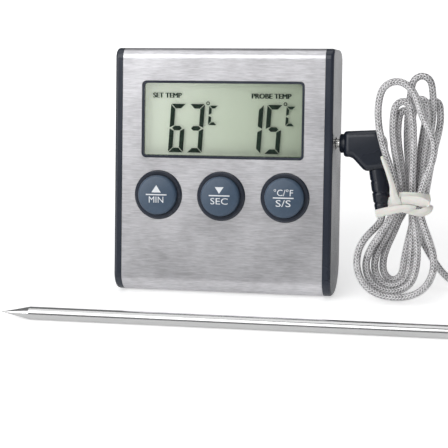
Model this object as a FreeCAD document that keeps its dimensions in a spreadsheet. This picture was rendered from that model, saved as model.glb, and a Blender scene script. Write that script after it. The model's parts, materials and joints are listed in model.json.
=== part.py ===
"""Probe thermometer: a display unit on its open stand, a coiled probe lead and a stainless steel probe.

The display unit is drawn upright in its own frame: X across the face, Y from the face (0) to the back,
Z up from its lowest edge.  Every piece of the unit, its plug and its coiled lead then gets one placement
that leans it back on its open stand.  The probe and the end of its lead lie on the table, at z = 0.
Lengths are in millimetres and angles in degrees.
"""

import FreeCAD
import Part
import Sketcher
import math
import os
import re

Vector = FreeCAD.Vector
Placement = FreeCAD.Placement
Rotation = FreeCAD.Rotation
X_AXIS = Vector(1, 0, 0)
Y_AXIS = Vector(0, 1, 0)
Z_AXIS = Vector(0, 0, 1)

DIMENSIONS = {
    # case
    "case_width": 65.1,
    "case_tall": 71.5,
    "case_deep": 15.5,
    "wall": 1.6,
    "front_wall": 2.0,
    "back_wall": 1.5,
    "parting": 8.5,
    "round_front_top": 3.0,
    "round_back_top": 3.5,
    "round_front_foot": 5.0,
    "round_back_foot": 10.0,
    "cheek_round": 0.9,
    "lean": 16.0,
    # steel face
    "steel": 0.5,
    "steel_width": 60.3,
    "top_wrap": 3.2,
    "foot_wrap": 5.4,
    "steel_gap": 0.05,
    # display
    "display_width": 48.6,
    "display_tall": 22.6,
    "display_row": 50.65,
    "rim": 0.75,
    "lens_front": 1.2,
    "glass_front": 2.1,
    "glass_width": 49.0,
    "glass_tall": 24.6,
    "glass_thick": 0.6,
    "ledge": 1.9,
    # keys
    "key_pitch": 18.98,
    "key_row": 28.5,
    "collar_radius": 7.2,
    "collar_proud": 0.5,
    "key_radius": 5.8,
    "key_gap": 0.15,
    "key_proud": 2.5,
    "key_travel": 0.8,
    "flange_radius": 6.7,
    # circuit board
    "board_front": 6.9,
    "board_thick": 1.2,
    "board_width": 50.0,
    "board_low": 21.1,
    "board_high": 67.8,
    # socket and plug
    "socket_row": 44.4,
    "socket_deep": 6.0,
    "barrel_radius": 1.25,
    "plug_face": 33.9,
    "barrel_long": 11.0,
    # battery
    "cell_radius": 5.25,
    "cell_long": 44.5,
    "cell_row": 14.6,
    "cell_deep": 8.9,
    "spring_radius": 2.6,
    "spring_long": 2.4,
    "door_width": 50.8,
    "door_low": 9.1,
    "door_high": 20.5,
    "door_thick": 1.2,
    # stand
    "stand_width": 26.0,
    "stand_long": 34.0,
    "stand_thick": 1.6,
    "stand_row": 24.0,
    "stand_deep": 14.7,
    "stand_pin": 0.8,
    "running_gap": 0.05,
    # magnets, switches and screws
    "magnet_radius": 6.0,
    "magnet_side": 21.5,
    "magnet_row": 55.0,
    "switch_side": 21.5,
    "switch_row": 36.5,
    "switch_travel": 2.5,
    "screw_side": 27.8,
    "screw_high": 64.6,
    "screw_low": 23.5,
    "screw_radius": 1.0,
    # lead
    "cable_radius": 1.05,
    "turn_pitch": 2.2,
    "coil_front": 1.0,
    "waist_side": 54.2,
    "waist_row": 29.8,
    "lead_bend": 17.3,
    # probe
    "probe_radius": 1.9,
    "probe_bore": 1.5,
    "probe_long": 150.0,
    "probe_cone": 9.0,
    "probe_tip": -60.4,
    "probe_line": -20.3,
    "crimp_long": 8.0,
    "crimp_grip": 5.0,
    "crimp_seat": 1.72,
}

doc = FreeCAD.newDocument("ProbeThermometer")
sizes = doc.addObject("Spreadsheet::Sheet", "Sizes")
for line, (alias, amount) in enumerate(DIMENSIONS.items(), start=1):
    sizes.set(f"A{line}", alias)
    sizes.set(f"B{line}", str(amount))
    sizes.setAlias(f"B{line}", alias)
doc.recompute()

sub_parts = []


# ---------------------------------------------------------------- the sheet and its rules


def rule(text):
    """The expression for a rule such as "case_width / 2 - wall", with every alias read from the sheet."""

    def named(word):
        return f"Sizes.{word[0]}" if word[0] in DIMENSIONS else word[0]

    return re.sub(r"[a-z_]+", named, str(text))


def number(text):
    """What a rule comes to."""
    return float(sizes.evalExpression(rule(text)))


def bind(thing, **rules):
    """Binds properties of an object to rules over the sheet."""
    for name, text in rules.items():
        thing.setExpression(name, rule(text))
    return thing


def put(thing, x=None, y=None, z=None):
    """Binds where a primitive stands."""
    for axis, text in zip("xyz", (x, y, z)):
        if text is not None:
            thing.setExpression(f".Placement.Base.{axis}", rule(text))
    return thing


# ---------------------------------------------------------------- primitives and booleans

ALONG = {"x": Rotation(Y_AXIS, 90), "y": Rotation(X_AXIS, -90), "z": Rotation()}


def block(x, y, z):
    """A box between three pairs of rules."""
    thing = doc.addObject("Part::Box", "Block")
    for side, (low, high) in zip(("Length", "Width", "Height"), (x, y, z)):
        thing.setExpression(side, rule(f"({high}) - ({low})"))
    return put(thing, x[0], y[0], z[0])


def rod(axis, start, radius, reach):
    """A cylinder from a start point along x, y or z."""
    thing = doc.addObject("Part::Cylinder", "Rod")
    thing.Placement = Placement(Vector(), ALONG[axis])
    bind(thing, Radius=radius, Height=reach)
    return put(thing, *start)


def taper(axis, start, first_radius, last_radius, reach):
    """A cone frustum from a start point along x, y or z."""
    thing = doc.addObject("Part::Cone", "Taper")
    thing.Placement = Placement(Vector(), ALONG[axis])
    bind(thing, Radius1=first_radius, Radius2=last_radius, Height=reach)
    return put(thing, *start)


def ball(centre, radius):
    """A sphere."""
    thing = bind(doc.addObject("Part::Sphere", "Ball"), Radius=radius)
    return put(thing, *centre)


def fuse(*pieces):
    """One solid from several."""
    thing = doc.addObject("Part::MultiFuse", "Union")
    thing.Shapes = list(pieces)
    thing.Refine = True
    return thing


def common(first, second):
    """What two solids share."""
    thing = doc.addObject("Part::MultiCommon", "Overlap")
    thing.Shapes = [first, second]
    return thing


def cut(base, *tools):
    """A solid less others."""
    thing = doc.addObject("Part::Cut", "Difference")
    thing.Base = base
    thing.Tool = tools[0] if len(tools) == 1 else group(*tools)
    thing.Refine = True
    return thing


def group(*pieces):
    """Several solids held together without joining them."""
    thing = doc.addObject("Part::Compound", "Group")
    thing.Links = list(pieces)
    return thing


def sub_part(label, thing, place):
    """Names a finished sub-part and places it."""
    simple = ("Part::Box", "Part::Cylinder", "Part::Cone", "Part::Sphere")
    if thing.TypeId in simple:
        thing = group(thing)
    thing.Label = label
    thing.Placement = place
    sub_parts.append(thing)
    return thing


# ---------------------------------------------------------------- bodies and sketches


def origin_plane(body, role):
    """One of a body's own origin planes."""
    return next(item for item in body.Origin.OriginFeatures if item.Role == role)


def new_body(name):
    """An empty body."""
    return doc.addObject("PartDesign::Body", name)


def new_sketch(body, role, offset="0"):
    """A sketch on one of the body's origin planes, moved along that plane's normal by a rule."""
    sketch = body.newObject("Sketcher::SketchObject", "Sketch")
    sketch.AttachmentSupport = [(origin_plane(body, role), "")]
    sketch.MapMode = "FlatFace"
    sketch.setExpression(".AttachmentOffset.Base.z", rule(offset))
    return sketch


def pin_point(sketch, element, position, across, up):
    """Ties one point of a sketch to the origin by two rules."""
    for kind, text in (("DistanceX", across), ("DistanceY", up)):
        index = sketch.addConstraint(Sketcher.Constraint(kind, -1, 1, element, position, number(text)))
        sketch.setExpression(f"Constraints[{index}]", rule(text))


def outline(sketch, corners):
    """A closed outline of straight lines through corners given as pairs of rules."""
    spots = [Vector(number(across), number(up), 0) for across, up in corners]
    lines = [Part.LineSegment(a, b) for a, b in zip(spots, spots[1:] + spots[:1])]
    first = sketch.addGeometry(lines, False)[0]
    for index, (across, up) in enumerate(corners):
        following = first + (index + 1) % len(corners)
        sketch.addConstraint(Sketcher.Constraint("Coincident", first + index, 2, following, 1))
        pin_point(sketch, first + index, 1, across, up)


def pad(body, sketch, long, midplane=False, reversed_=False):
    """Extrudes a sketch."""
    feature = body.newObject("PartDesign::Pad", "Pad")
    feature.Profile = sketch
    feature.Midplane = midplane
    feature.Reversed = reversed_
    bind(feature, Length=long)
    doc.recompute()
    return feature


def turned(name, role, corners, axis):
    """A body turned about a sketch axis, H_Axis or V_Axis, from an outline of straight lines."""
    body = new_body(name)
    sketch = new_sketch(body, role)
    outline(sketch, corners)
    feature = body.newObject("PartDesign::Revolution", "Turning")
    feature.Profile = sketch
    feature.ReferenceAxis = (sketch, [axis])
    feature.Angle = 360.0
    doc.recompute()
    return body


def soften(body, radius, wanted, kind="Fillet"):
    """Rounds or chamfers the edges of a body's last feature that a test picks."""
    base = body.Tip
    names = [f"Edge{i}" for i, edge in enumerate(base.Shape.Edges, start=1) if wanted(edge)]
    feature = body.newObject("PartDesign::" + kind, kind)
    feature.Base = (base, names)
    bind(feature, **{"Radius" if kind == "Fillet" else "Size": radius})
    doc.recompute()
    return feature


def runs_along(edge, axis):
    """Whether an edge is straight and parallel to an axis."""
    step = edge.Vertexes[-1].Point - edge.Vertexes[0].Point
    return edge.Curve.TypeId == "Part::GeomLine" and abs(step.dot(axis)) > 0.999 * step.Length > 0


def near(value, text):
    """Whether a coordinate is where a rule says."""
    return abs(value - number(text)) < 0.01


def slab(name, half_width, deep, tall, rounds):
    """A bar across the unit between two depths and two heights, with its four long edges rounded.

    rounds gives the radii of the front top, back top, front foot and back foot edges.
    """
    body = new_body(name)
    sketch = new_sketch(body, "YZ_Plane")
    outline(sketch, [(deep[0], tall[0]), (deep[1], tall[0]), (deep[1], tall[1]), (deep[0], tall[1])])
    pad(body, sketch, f"2 * ({half_width})", midplane=True)
    edges_at = ((deep[0], tall[1]), (deep[1], tall[1]), (deep[0], tall[0]), (deep[1], tall[0]))
    for radius, (y, z) in zip(rounds, edges_at):
        if radius is not None:
            soften(
                body,
                radius,
                lambda edge: runs_along(edge, X_AXIS)
                and near(edge.CenterOfMass.y, y)
                and near(edge.CenterOfMass.z, z),
            )
    return body


def tablet(name, x, y, z, corner=None):
    """A plate parallel to the face between two depths, with its four corners rounded."""
    body = new_body(name)
    sketch = new_sketch(body, "XZ_Plane", f"-({y[0]})")
    outline(sketch, [(x[0], z[0]), (x[1], z[0]), (x[1], z[1]), (x[0], z[1])])
    pad(body, sketch, f"({y[1]}) - ({y[0]})", reversed_=True)
    if corner is not None:
        soften(body, corner, lambda edge: runs_along(edge, Y_AXIS))
    return body


# ---------------------------------------------------------------- where the unit stands

lean = math.radians(number("lean"))
back_round = number("round_back_foot")
heel = number("case_deep - round_back_foot")
lift = back_round - (back_round * math.cos(lean) - heel * math.sin(lean))
LEANING = Placement(Vector(0, 0, lift), Rotation(X_AXIS, -number("lean")))
ON_TABLE = Placement()


# ---------------------------------------------------------------- case


def case_blank():
    """The outside of the closed case: a rounded bar whose two cheeks are rounded over."""
    body = slab(
        "CaseBlank",
        "case_width / 2",
        ("0", "case_deep"),
        ("0", "case_tall"),
        ("round_front_top", "round_back_top", "round_front_foot", "round_back_foot"),
    )
    half = number("case_width / 2")
    soften(body, "cheek_round", lambda edge: abs(abs(edge.CenterOfMass.x) - half) < 0.01)
    return body


def case_hollow():
    """The room inside the closed case."""
    return slab(
        "CaseHollow",
        "case_width / 2 - wall",
        ("front_wall", "case_deep - back_wall"),
        ("wall", "case_tall - wall"),
        (
            "round_front_top - wall",
            "round_back_top - wall",
            "round_front_foot - front_wall",
            "round_back_foot - back_wall",
        ),
    )


def steel_wrap(half_width):
    """The folded steel sheet before its openings are cut: a face with a rolled top and a rolled foot."""
    outside = slab(
        "WrapOutside",
        half_width,
        ("0", "foot_wrap"),
        ("0", "case_tall"),
        ("round_front_top", None, "round_front_foot", None),
    )
    inside = slab(
        "WrapInside",
        f"{half_width} + 1",
        ("steel", "foot_wrap + 1"),
        ("steel", "case_tall - steel"),
        ("round_front_top - steel", None, "round_front_foot - steel", None),
    )
    behind_top = block(
        ("-case_width", "case_width"), ("top_wrap", "case_deep"), ("case_tall / 2", "case_tall + 1")
    )
    return cut(outside, inside, behind_top)


def display_plate(name, deep, grow, corner):
    """A plate the size of the display opening, larger all round by a rule."""
    return tablet(
        name,
        (f"-display_width / 2 - ({grow})", f"display_width / 2 + {grow}"),
        deep,
        (f"display_row - display_tall / 2 - ({grow})", f"display_row + display_tall / 2 + {grow}"),
        corner,
    )


KEY_SIDES = {"button_min": "-key_pitch", "button_sec": "0", "button_mode": "key_pitch"}
SCREW_SPOTS = [(side, row) for side in ("-screw_side", "screw_side") for row in ("screw_high", "screw_low")]
BOARD_SPOTS = [
    ("-key_pitch / 2", "key_row + 5.5"),
    ("key_pitch / 2", "key_row + 5.5"),
    ("-21", "board_high - 1.8"),
    ("21", "board_high - 1.8"),
]


def front_case():
    """The moulded front half: cheeks, display rim, key collars and screw bosses."""
    half = common(
        case_blank(),
        block(("-case_width", "case_width"), ("-1", "parting"), ("-1", "case_tall + 1")),
    )
    shell = cut(half, case_hollow(), steel_wrap("steel_width / 2 + steel_gap"))
    added = [display_plate("DisplayRim", ("steel_gap", "front_wall"), "-steel_gap", "1.3")]
    removed = [
        display_plate("DisplayOpening", ("-1", "front_wall + 1"), "-rim", "0.8"),
        display_plate("LensSeat", ("lens_front", "front_wall + 1"), "steel_gap", "1.3"),
    ]
    for side in KEY_SIDES.values():
        added.append(rod("y", (side, "-0.1", "key_row"), "collar_radius", "front_wall + 0.1"))
        added.append(
            taper(
                "y",
                (side, "-collar_proud", "key_row"),
                "collar_radius - 0.45",
                "collar_radius",
                "collar_proud - 0.1",
            )
        )
        removed.append(rod("y", (side, "-1", "key_row"), "key_radius + key_gap", "front_wall + 2"))
    for side, row in SCREW_SPOTS:
        added.append(rod("y", (side, "front_wall - 0.2", row), "2.3", "parting - front_wall + 0.1"))
        removed.append(rod("y", (side, "3.9", row), "screw_radius + 0.05", "parting"))
    for side, row in BOARD_SPOTS:
        added.append(rod("y", (side, "front_wall - 0.2", row), "1.5", "board_front - front_wall + 0.2"))
        removed.append(rod("y", (side, "3.4", row), "0.8", "parting"))
    removed.append(rod("x", ("case_width / 2 - 3", "socket_deep", "socket_row"), "1.8", "5"))
    return cut(fuse(shell, *added), *removed)


def steel_panel():
    """The brushed steel face with its display window and three key holes."""
    holes = [display_plate("SteelWindow", ("-1", "front_wall"), "0", "1.35")]
    for side in KEY_SIDES.values():
        holes.append(rod("y", (side, "-1", "key_row"), "collar_radius + steel_gap", "3"))
    return cut(steel_wrap("steel_width / 2"), *holes)


def rear_case():
    """The moulded back half: screw posts, battery tray, stand recess, magnet pockets and switch slots."""
    half = common(
        case_blank(),
        block(("-case_width", "case_width"), ("parting", "case_deep + 1"), ("-1", "case_tall + 1")),
    )
    shell = cut(half, case_hollow())
    inner_back = "case_deep - back_wall"
    added = [
        block(
            ("-stand_width / 2 - 1.8", "stand_width / 2 + 1.8"),
            ("stand_deep - 2.4", f"{inner_back} + 0.2"),
            ("stand_row - 2.8", "stand_row + stand_long + 2"),
        ),
        cut(
            block(
                ("-cell_long / 2 - 4.4", "cell_long / 2 + 4.4"),
                ("3", f"{inner_back} + 0.1"),
                ("cell_row - 6.15", "cell_row + 6.2"),
            ),
            block(
                ("-cell_long / 2 - 3.7", "cell_long / 2 + 0.35"),
                ("cell_deep - cell_radius - 0.05", "case_deep + 1"),
                ("cell_row - 5.45", "cell_row + 5.45"),
            ),
        ),
    ]
    removed = [
        block(
            ("-stand_width / 2 - 0.15", "stand_width / 2 + 0.15"),
            ("stand_deep - 0.95", "case_deep + 1"),
            ("stand_row - 1.6", "stand_row + stand_long + 0.6"),
        ),
        block(
            ("-door_width / 2 - 0.05", "door_width / 2 + 0.05"),
            (f"{inner_back} - 0.5", "case_deep + 1"),
            ("door_low - 0.05", "door_high + 0.05"),
        ),
        rod(
            "x",
            ("-stand_width / 2 - 1.6", "stand_deep", "stand_row"),
            "stand_pin + running_gap",
            "stand_width + 3.2",
        ),
        rod(
            "x",
            ("-door_width / 2 - 0.9", "case_deep - door_thick / 2", "door_low + door_thick / 2"),
            "0.4 + running_gap",
            "door_width + 1.8",
        ),
    ]
    for side, row in SCREW_SPOTS:
        added.append(rod("y", (side, "parting", row), "2.3", "case_deep - back_wall - parting + 0.1"))
        removed.append(rod("y", (side, "parting - 1", row), "screw_radius + 0.1", "case_deep"))
        removed.append(rod("y", (side, "case_deep - 2.6", row), "1.95", "case_deep"))
    for side in ("-magnet_side", "magnet_side"):
        added.append(rod("y", (side, "case_deep - 2.8", "magnet_row"), "magnet_radius + 1", "1.4"))
        removed.append(rod("y", (side, "case_deep - 2", "magnet_row"), "magnet_radius + running_gap", "3"))
    for side in ("-switch_side", "switch_side"):
        removed.append(
            block(
                (f"{side} - switch_travel / 2 - 1.75", f"{side} + switch_travel / 2 + 1.75"),
                (f"{inner_back} - 1", "case_deep + 1"),
                ("switch_row - 1.25", "switch_row + 1.25"),
            )
        )
    for across, up in ((0, 0), (3, 0), (-3, 0), (0, 3), (0, -3)):
        removed.append(rod("y", (across, "case_deep - 4", f"stand_row + 16 + {up}"), "0.6", "4"))
    return cut(fuse(shell, *added), *removed)


def screw(side, row, head_at, head_radius, head_thick, shank_radius, reach):
    """A pan-head screw seen from the back of the unit, with a cross recess in its head."""
    head = rod("y", (side, head_at, row), head_radius, head_thick)
    shank = rod("y", (side, f"({head_at}) - ({reach})", row), shank_radius, f"{reach} + 0.2")
    point = taper(
        "y", (side, f"({head_at}) - ({reach}) - 0.8", row), "0.15", shank_radius, "0.8"
    )
    slots = []
    for half_across, half_up in (("0.2", f"{head_radius} * 0.6"), (f"{head_radius} * 0.6", "0.2")):
        slots.append(
            block(
                (f"{side} - {half_across}", f"{side} + {half_across}"),
                (f"{head_at} + {head_thick} * 0.4", f"{head_at} + {head_thick} + 1"),
                (f"{row} - {half_up}", f"{row} + {half_up}"),
            )
        )
    return cut(fuse(head, shank, point), *slots)


def case_screws():
    """Four screws that hold the case halves together from the back."""
    return group(
        *[
            screw(side, row, "case_deep - 2.6", "1.8", "1.3", "screw_radius", "8")
            for side, row in SCREW_SPOTS
        ]
    )


def board_screws():
    """Four small screws that hold the circuit board on the front case."""
    return group(
        *[
            screw(side, row, "board_front + board_thick", "1.3", "0.9", "0.75", "3.6")
            for side, row in BOARD_SPOTS
        ]
    )


# ---------------------------------------------------------------- display

GLASS_LOW = "display_row - glass_tall / 2"
GLASS_HIGH = "display_row + glass_tall / 2"
SOCKET_ROOM = (("19.2", "case_width"), ("3.5", "9"), ("socket_row - 3.1", "socket_row + 3.1"))


def window_lens():
    """The clear plastic lens seated behind the display rim."""
    return display_plate("Lens", ("lens_front", "front_wall"), "0", "1.3")


def lcd_front_glass():
    """The front glass of the display, longer at its foot to leave a contact ledge."""
    return block(
        ("-glass_width / 2", "glass_width / 2"),
        ("glass_front", "glass_front + glass_thick"),
        (GLASS_LOW, GLASS_HIGH),
    )


def lcd_rear_glass():
    """The rear glass of the display."""
    return block(
        ("-glass_width / 2", "glass_width / 2"),
        ("glass_front + glass_thick", "glass_front + 2 * glass_thick"),
        (f"{GLASS_LOW} + ledge", GLASS_HIGH),
    )


def lcd_reflector():
    """The reflective film behind the glass."""
    return block(
        ("-glass_width / 2", "glass_width / 2"),
        ("glass_front + 2 * glass_thick", "glass_front + 2 * glass_thick + 0.15"),
        (f"{GLASS_LOW} + ledge", GLASS_HIGH),
    )


def lcd_holder():
    """The frame that holds the glass off the circuit board, notched for the probe socket."""
    frame = block(
        ("-glass_width / 2 - 0.7", "glass_width / 2 + 0.7"),
        ("glass_front", "board_front"),
        (f"{GLASS_LOW} - 0.7", f"{GLASS_HIGH} + 0.8"),
    )
    inside = block(
        ("-glass_width / 2", "glass_width / 2"), ("0", "board_front + 1"), (GLASS_LOW, GLASS_HIGH)
    )
    return cut(frame, inside, block(*SOCKET_ROOM))


def zebra_strip():
    """The striped rubber connector between the glass ledge and the circuit board."""
    return block(
        ("-glass_width / 2 + 1.5", "glass_width / 2 - 6"),
        ("glass_front + glass_thick", "board_front"),
        (f"{GLASS_LOW} + 0.15", f"{GLASS_LOW} + ledge - 0.15"),
    )


# ---------------------------------------------------------------- circuit board and what it carries

BOARD_BACK = "board_front + board_thick"


def circuit_board():
    """The circuit board, notched for the probe socket and drilled for its four screws."""
    plate = tablet(
        "Board",
        ("-board_width / 2", "board_width / 2"),
        ("board_front", BOARD_BACK),
        ("board_low", "board_high"),
        "1.0",
    )
    holes = [rod("y", (side, "board_front - 1", row), "0.85", "4") for side, row in BOARD_SPOTS]
    return cut(plate, block(*SOCKET_ROOM), *holes)


def controller_chip():
    """The controller under its drop of black resin."""
    base = rod("y", ("-2", BOARD_BACK, "54"), "5.5", "0.7")
    crown = taper("y", ("-2", f"{BOARD_BACK} + 0.7", "54"), "5.5", "3.2", "0.7")
    return fuse(base, crown)


def crystal_can():
    """The quartz crystal in its can, lying on the board."""
    return rod("x", ("-16", f"{BOARD_BACK} + 1.05", "61.5"), "1", "6.2")


def capacitor():
    """A smoothing capacitor lying on the board."""
    return rod("x", ("4", f"{BOARD_BACK} + 1.55", "44.5"), "1.5", "7")


def keypad_mat():
    """The silicone mat with a dome under each key."""
    mat = tablet(
        "Mat",
        ("-key_pitch - 6.5", "key_pitch + 6.5"),
        ("board_front - 0.8", "board_front"),
        ("key_row - 6.9", "key_row + 7.9"),
        "1.5",
    )
    domes = [
        taper("y", (side, "board_front - 1.6", "key_row"), "2.4", "3.6", "0.9")
        for side in KEY_SIDES.values()
    ]
    holes = [rod("y", (side, "board_front - 2", row), "1.8", "4") for side, row in BOARD_SPOTS[:2]]
    return cut(fuse(mat, *domes), *holes)


STEM_END = "board_front - 1.7 - key_travel"


def key_cap(side):
    """A domed key with a retaining flange and a stem, turned about its own axis and set in the face."""
    body = new_body("KeyCap")
    sketch = new_sketch(body, "XY_Plane")
    outline(
        sketch,
        [
            ("0", "-key_proud"),
            ("key_radius * 0.45", "-key_proud + 0.12"),
            ("key_radius * 0.78", "-key_proud + 0.5"),
            ("key_radius", "-key_proud + 1.4"),
            ("key_radius", "front_wall + 0.1"),
            ("flange_radius", "front_wall + 0.1"),
            ("flange_radius", "front_wall + 0.9"),
            ("2.5", "front_wall + 0.9"),
            ("2.5", STEM_END),
            ("0", STEM_END),
        ],
    )
    feature = body.newObject("PartDesign::Revolution", "Turning")
    feature.Profile = sketch
    feature.ReferenceAxis = (sketch, ["V_Axis"])
    feature.Angle = 360.0
    doc.recompute()
    body.setExpression(".Placement.Base.x", rule(side))
    body.setExpression(".Placement.Base.z", rule("key_row"))
    return group(body)


# ---------------------------------------------------------------- probe socket and plug

HOUSING_FACE = "plug_face"
TIP_END = "plug_face - barrel_long"


def jack_socket():
    """The moulded socket on the right side, with a nose that fills the hole in the case."""
    shell = block(
        ("19.5", "case_width / 2 - wall - 0.05"),
        ("3.6", "8.6"),
        ("socket_row - 2.8", "socket_row + 2.8"),
    )
    nose = rod("x", ("case_width / 2 - wall - 0.1", "socket_deep", "socket_row"), "1.75", "wall - 0.1")
    bore = rod("x", ("20.6", "socket_deep", "socket_row"), "barrel_radius + running_gap", "20")
    return cut(fuse(shell, nose), bore)


def socket_tabs():
    """The two solder tabs of the socket."""
    return group(
        *[
            block((at, f"{at} + 1.4"), ("8.6", "9.9"), ("socket_row - 1.1", "socket_row - 0.8"))
            for at in ("21.5", "27.2")
        ]
    )


def plug_sleeve():
    """The outer conductor of the plug."""
    tube = rod("x", (f"{TIP_END} + 3.4", "socket_deep", "socket_row"), "barrel_radius", "barrel_long - 1.4")
    return cut(tube, rod("x", (f"{TIP_END} + 3", "socket_deep", "socket_row"), "0.85", "barrel_long + 2"))


def plug_insulator():
    """The insulating ring and tube between tip and sleeve."""
    ring = rod("x", (f"{TIP_END} + 3", "socket_deep", "socket_row"), "barrel_radius", "0.4")
    tube = rod("x", (f"{TIP_END} + 3", "socket_deep", "socket_row"), "0.85", "barrel_long - 1")
    bore = rod("x", (TIP_END, "socket_deep", "socket_row"), "0.45", "barrel_long + 4")
    return cut(fuse(ring, tube), bore)


def plug_tip():
    """The tip contact: a waisted head on a centre pin."""
    head = taper("x", (TIP_END, "socket_deep", "socket_row"), "0.35", "1.15", "1.1")
    neck = taper("x", (f"{TIP_END} + 1.1", "socket_deep", "socket_row"), "1.15", "0.8", "0.8")
    base = taper("x", (f"{TIP_END} + 1.9", "socket_deep", "socket_row"), "0.8", "barrel_radius", "1.1")
    pin = rod("x", (f"{TIP_END} + 2", "socket_deep", "socket_row"), "0.45", "barrel_long")
    return fuse(head, neck, base, pin)


RELIEF_TILT = 8.0
RELIEF_TOP = ("44.5", "36.77")
RELIEF_BORE = "cable_radius + 0.2"
RELIEF_LONG = 12.0


def plug_housing():
    """The right-angle moulding of the plug, with its collar."""
    body = new_body("Housing")
    sketch = new_sketch(body, "XZ_Plane", "-(socket_deep)")
    outline(
        sketch,
        [
            (f"{HOUSING_FACE} + 1.2", "socket_row + 3.5"),
            (f"{HOUSING_FACE} + 1.2", "socket_row - 3.8"),
            (f"{HOUSING_FACE} + 3.7", "socket_row - 3.8"),
            ("41.7", "36.4"),
            ("47.1", "37.16"),
            ("46.6", "39.6"),
            ("47.8", "41.4"),
            ("47.4", "45.8"),
            ("45.2", "socket_row + 3.9"),
        ],
    )
    pad(body, sketch, "7", midplane=True)
    soften(body, "1.4", lambda edge: not runs_along(edge, Y_AXIS) and edge.CenterOfMass.z > 36.9)
    collar = rod("x", (HOUSING_FACE, "socket_deep", "socket_row"), "2.75", "1.6")
    core = rod("x", (f"{HOUSING_FACE} - 1", "socket_deep", "socket_row"), "barrel_radius", "3")
    pin_end = rod("x", (HOUSING_FACE, "socket_deep", "socket_row"), "0.85", "2.5")
    return cut(fuse(body, collar), core, pin_end)


def strain_relief():
    """The grooved sleeve that guides the lead out of the plug, turned about its own tilted axis."""
    corners = [(RELIEF_BORE, "0"), ("2.35", "0"), ("2.7", "-3.4")]
    for groove in (4.6, 7.0, 9.4):
        bulge = 2.72 - 0.012 * (groove - 3.4) ** 2
        corners += [
            (f"{bulge}", f"-{groove}"),
            (f"{bulge - 0.4}", f"-{groove}"),
            (f"{bulge - 0.4}", f"-{groove + 0.6}"),
            (f"{bulge}", f"-{groove + 0.6}"),
        ]
    corners += [("1.95", f"-{RELIEF_LONG}"), (RELIEF_BORE, f"-{RELIEF_LONG}")]
    body = turned("Relief", "XZ_Plane", corners, "V_Axis")
    body.Placement = Placement(
        Vector(number(RELIEF_TOP[0]), number("socket_deep"), number(RELIEF_TOP[1])),
        Rotation(Y_AXIS, -RELIEF_TILT),
    )
    return group(body)


# ---------------------------------------------------------------- battery

SPRING_TURNS = 3


def battery():
    """The AAA cell, with its raised positive button."""
    can = rod("x", ("-cell_long / 2", "cell_deep", "cell_row"), "cell_radius", "cell_long - 1")
    button = rod("x", ("cell_long / 2 - 1.1", "cell_deep", "cell_row"), "1.9", "1.1")
    return fuse(can, button)


def battery_spring():
    """The conical coil spring on the negative contact plate."""
    first = Vector(number("-cell_long / 2 - 3.0"), number("cell_deep"), number("cell_row"))
    points = []
    for step in range(SPRING_TURNS * 12 + 1):
        angle = math.radians(30 * step)
        share = step / (SPRING_TURNS * 12)
        radius = number("spring_radius") * (1 - 0.35 * share)
        across = Vector(number("spring_long") * share, radius * math.cos(angle), radius * math.sin(angle))
        points.append(first + across)
    curve = Part.BSplineCurve()
    curve.interpolate(points)
    return cord(curve, curve.FirstParameter, curve.LastParameter, SPRING_TURNS * 4, "0.25")


def battery_plates():
    """The negative and positive contact plates at the ends of the tray."""
    plates = []
    for low, high in (
        ("-cell_long / 2 - 3.6", "-cell_long / 2 - 3.35"),
        ("cell_long / 2 + 0.05", "cell_long / 2 + 0.3"),
    ):
        plates.append(
            block((low, high), ("cell_deep - 4", "cell_deep + 4"), ("cell_row - 4", "cell_row + 4"))
        )
    return group(*plates)


def battery_door():
    """The snap-in door with its rounded hinge edge, two pins and a finger rib."""
    hinge_deep = "case_deep - door_thick / 2"
    hinge_row = "door_low + door_thick / 2"
    width = "door_width / 2"
    panel = block((f"-{width}", width), ("case_deep - door_thick", "case_deep"), (hinge_row, "door_high"))
    edge = rod("x", (f"-{width}", hinge_deep, hinge_row), "door_thick / 2", "door_width")
    pins = rod("x", (f"-{width} - 0.8", hinge_deep, hinge_row), "0.4", "door_width + 1.6")
    grips = [
        block(
            ("-5", "5"),
            ("case_deep - 0.4", "case_deep + 1"),
            (f"door_high - 1.6 - {step}", f"door_high - 1.1 - {step}"),
        )
        for step in (0, 1.1, 2.2)
    ]
    return cut(fuse(panel, edge, pins), *grips)


# ---------------------------------------------------------------- stand, magnets, buzzer, switches


def stand_reach():
    """From the pivot to the centre of the stand's rounded foot."""
    return number("stand_long - stand_thick / 2")


def stand_opening():
    """How far the stand swings from closed until its rounded foot stands on the table, in degrees."""
    foot = number("stand_thick / 2")
    pivot_up = number("stand_row") * math.cos(lean) - number("stand_deep") * math.sin(lean) + lift
    return math.degrees(math.acos(-(pivot_up - foot) / stand_reach()) - lean)


def kickstand():
    """The fold-out stand, drawn closed about its pivot and then swung open."""
    width = "stand_width / 2"
    foot = "stand_long - stand_thick / 2"
    plate = block((f"-{width}", width), ("-stand_thick / 2", "stand_thick / 2"), ("0", foot))
    heel_edge = rod("x", (f"-{width}", "0", "0"), "stand_thick / 2", "stand_width")
    foot_edge = rod("x", (f"-{width}", "0", foot), "stand_thick / 2", "stand_width")
    pins = rod("x", (f"-{width} - 1.5", "0", "0"), "stand_pin", "stand_width + 3")
    window = tablet(
        "StandWindow", ("-stand_width / 2 + 4.5", "stand_width / 2 - 4.5"), ("-2", "2"), ("7", "22"), "2"
    )
    ribs = [
        block((f"-{width} + 4", f"{width} - 4"), ("stand_thick / 2 - 0.35", "2"), (f"{up}", f"{up} + 0.6"))
        for up in (25.5, 27.1, 28.7)
    ]
    return cut(fuse(plate, heel_edge, foot_edge, pins), window, *ribs)


def stand_place():
    """The open stand's place in the leaning unit."""
    pivot = Vector(0, number("stand_deep"), number("stand_row"))
    return LEANING.multiply(Placement(pivot, Rotation(X_AXIS, -stand_opening())))


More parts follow.
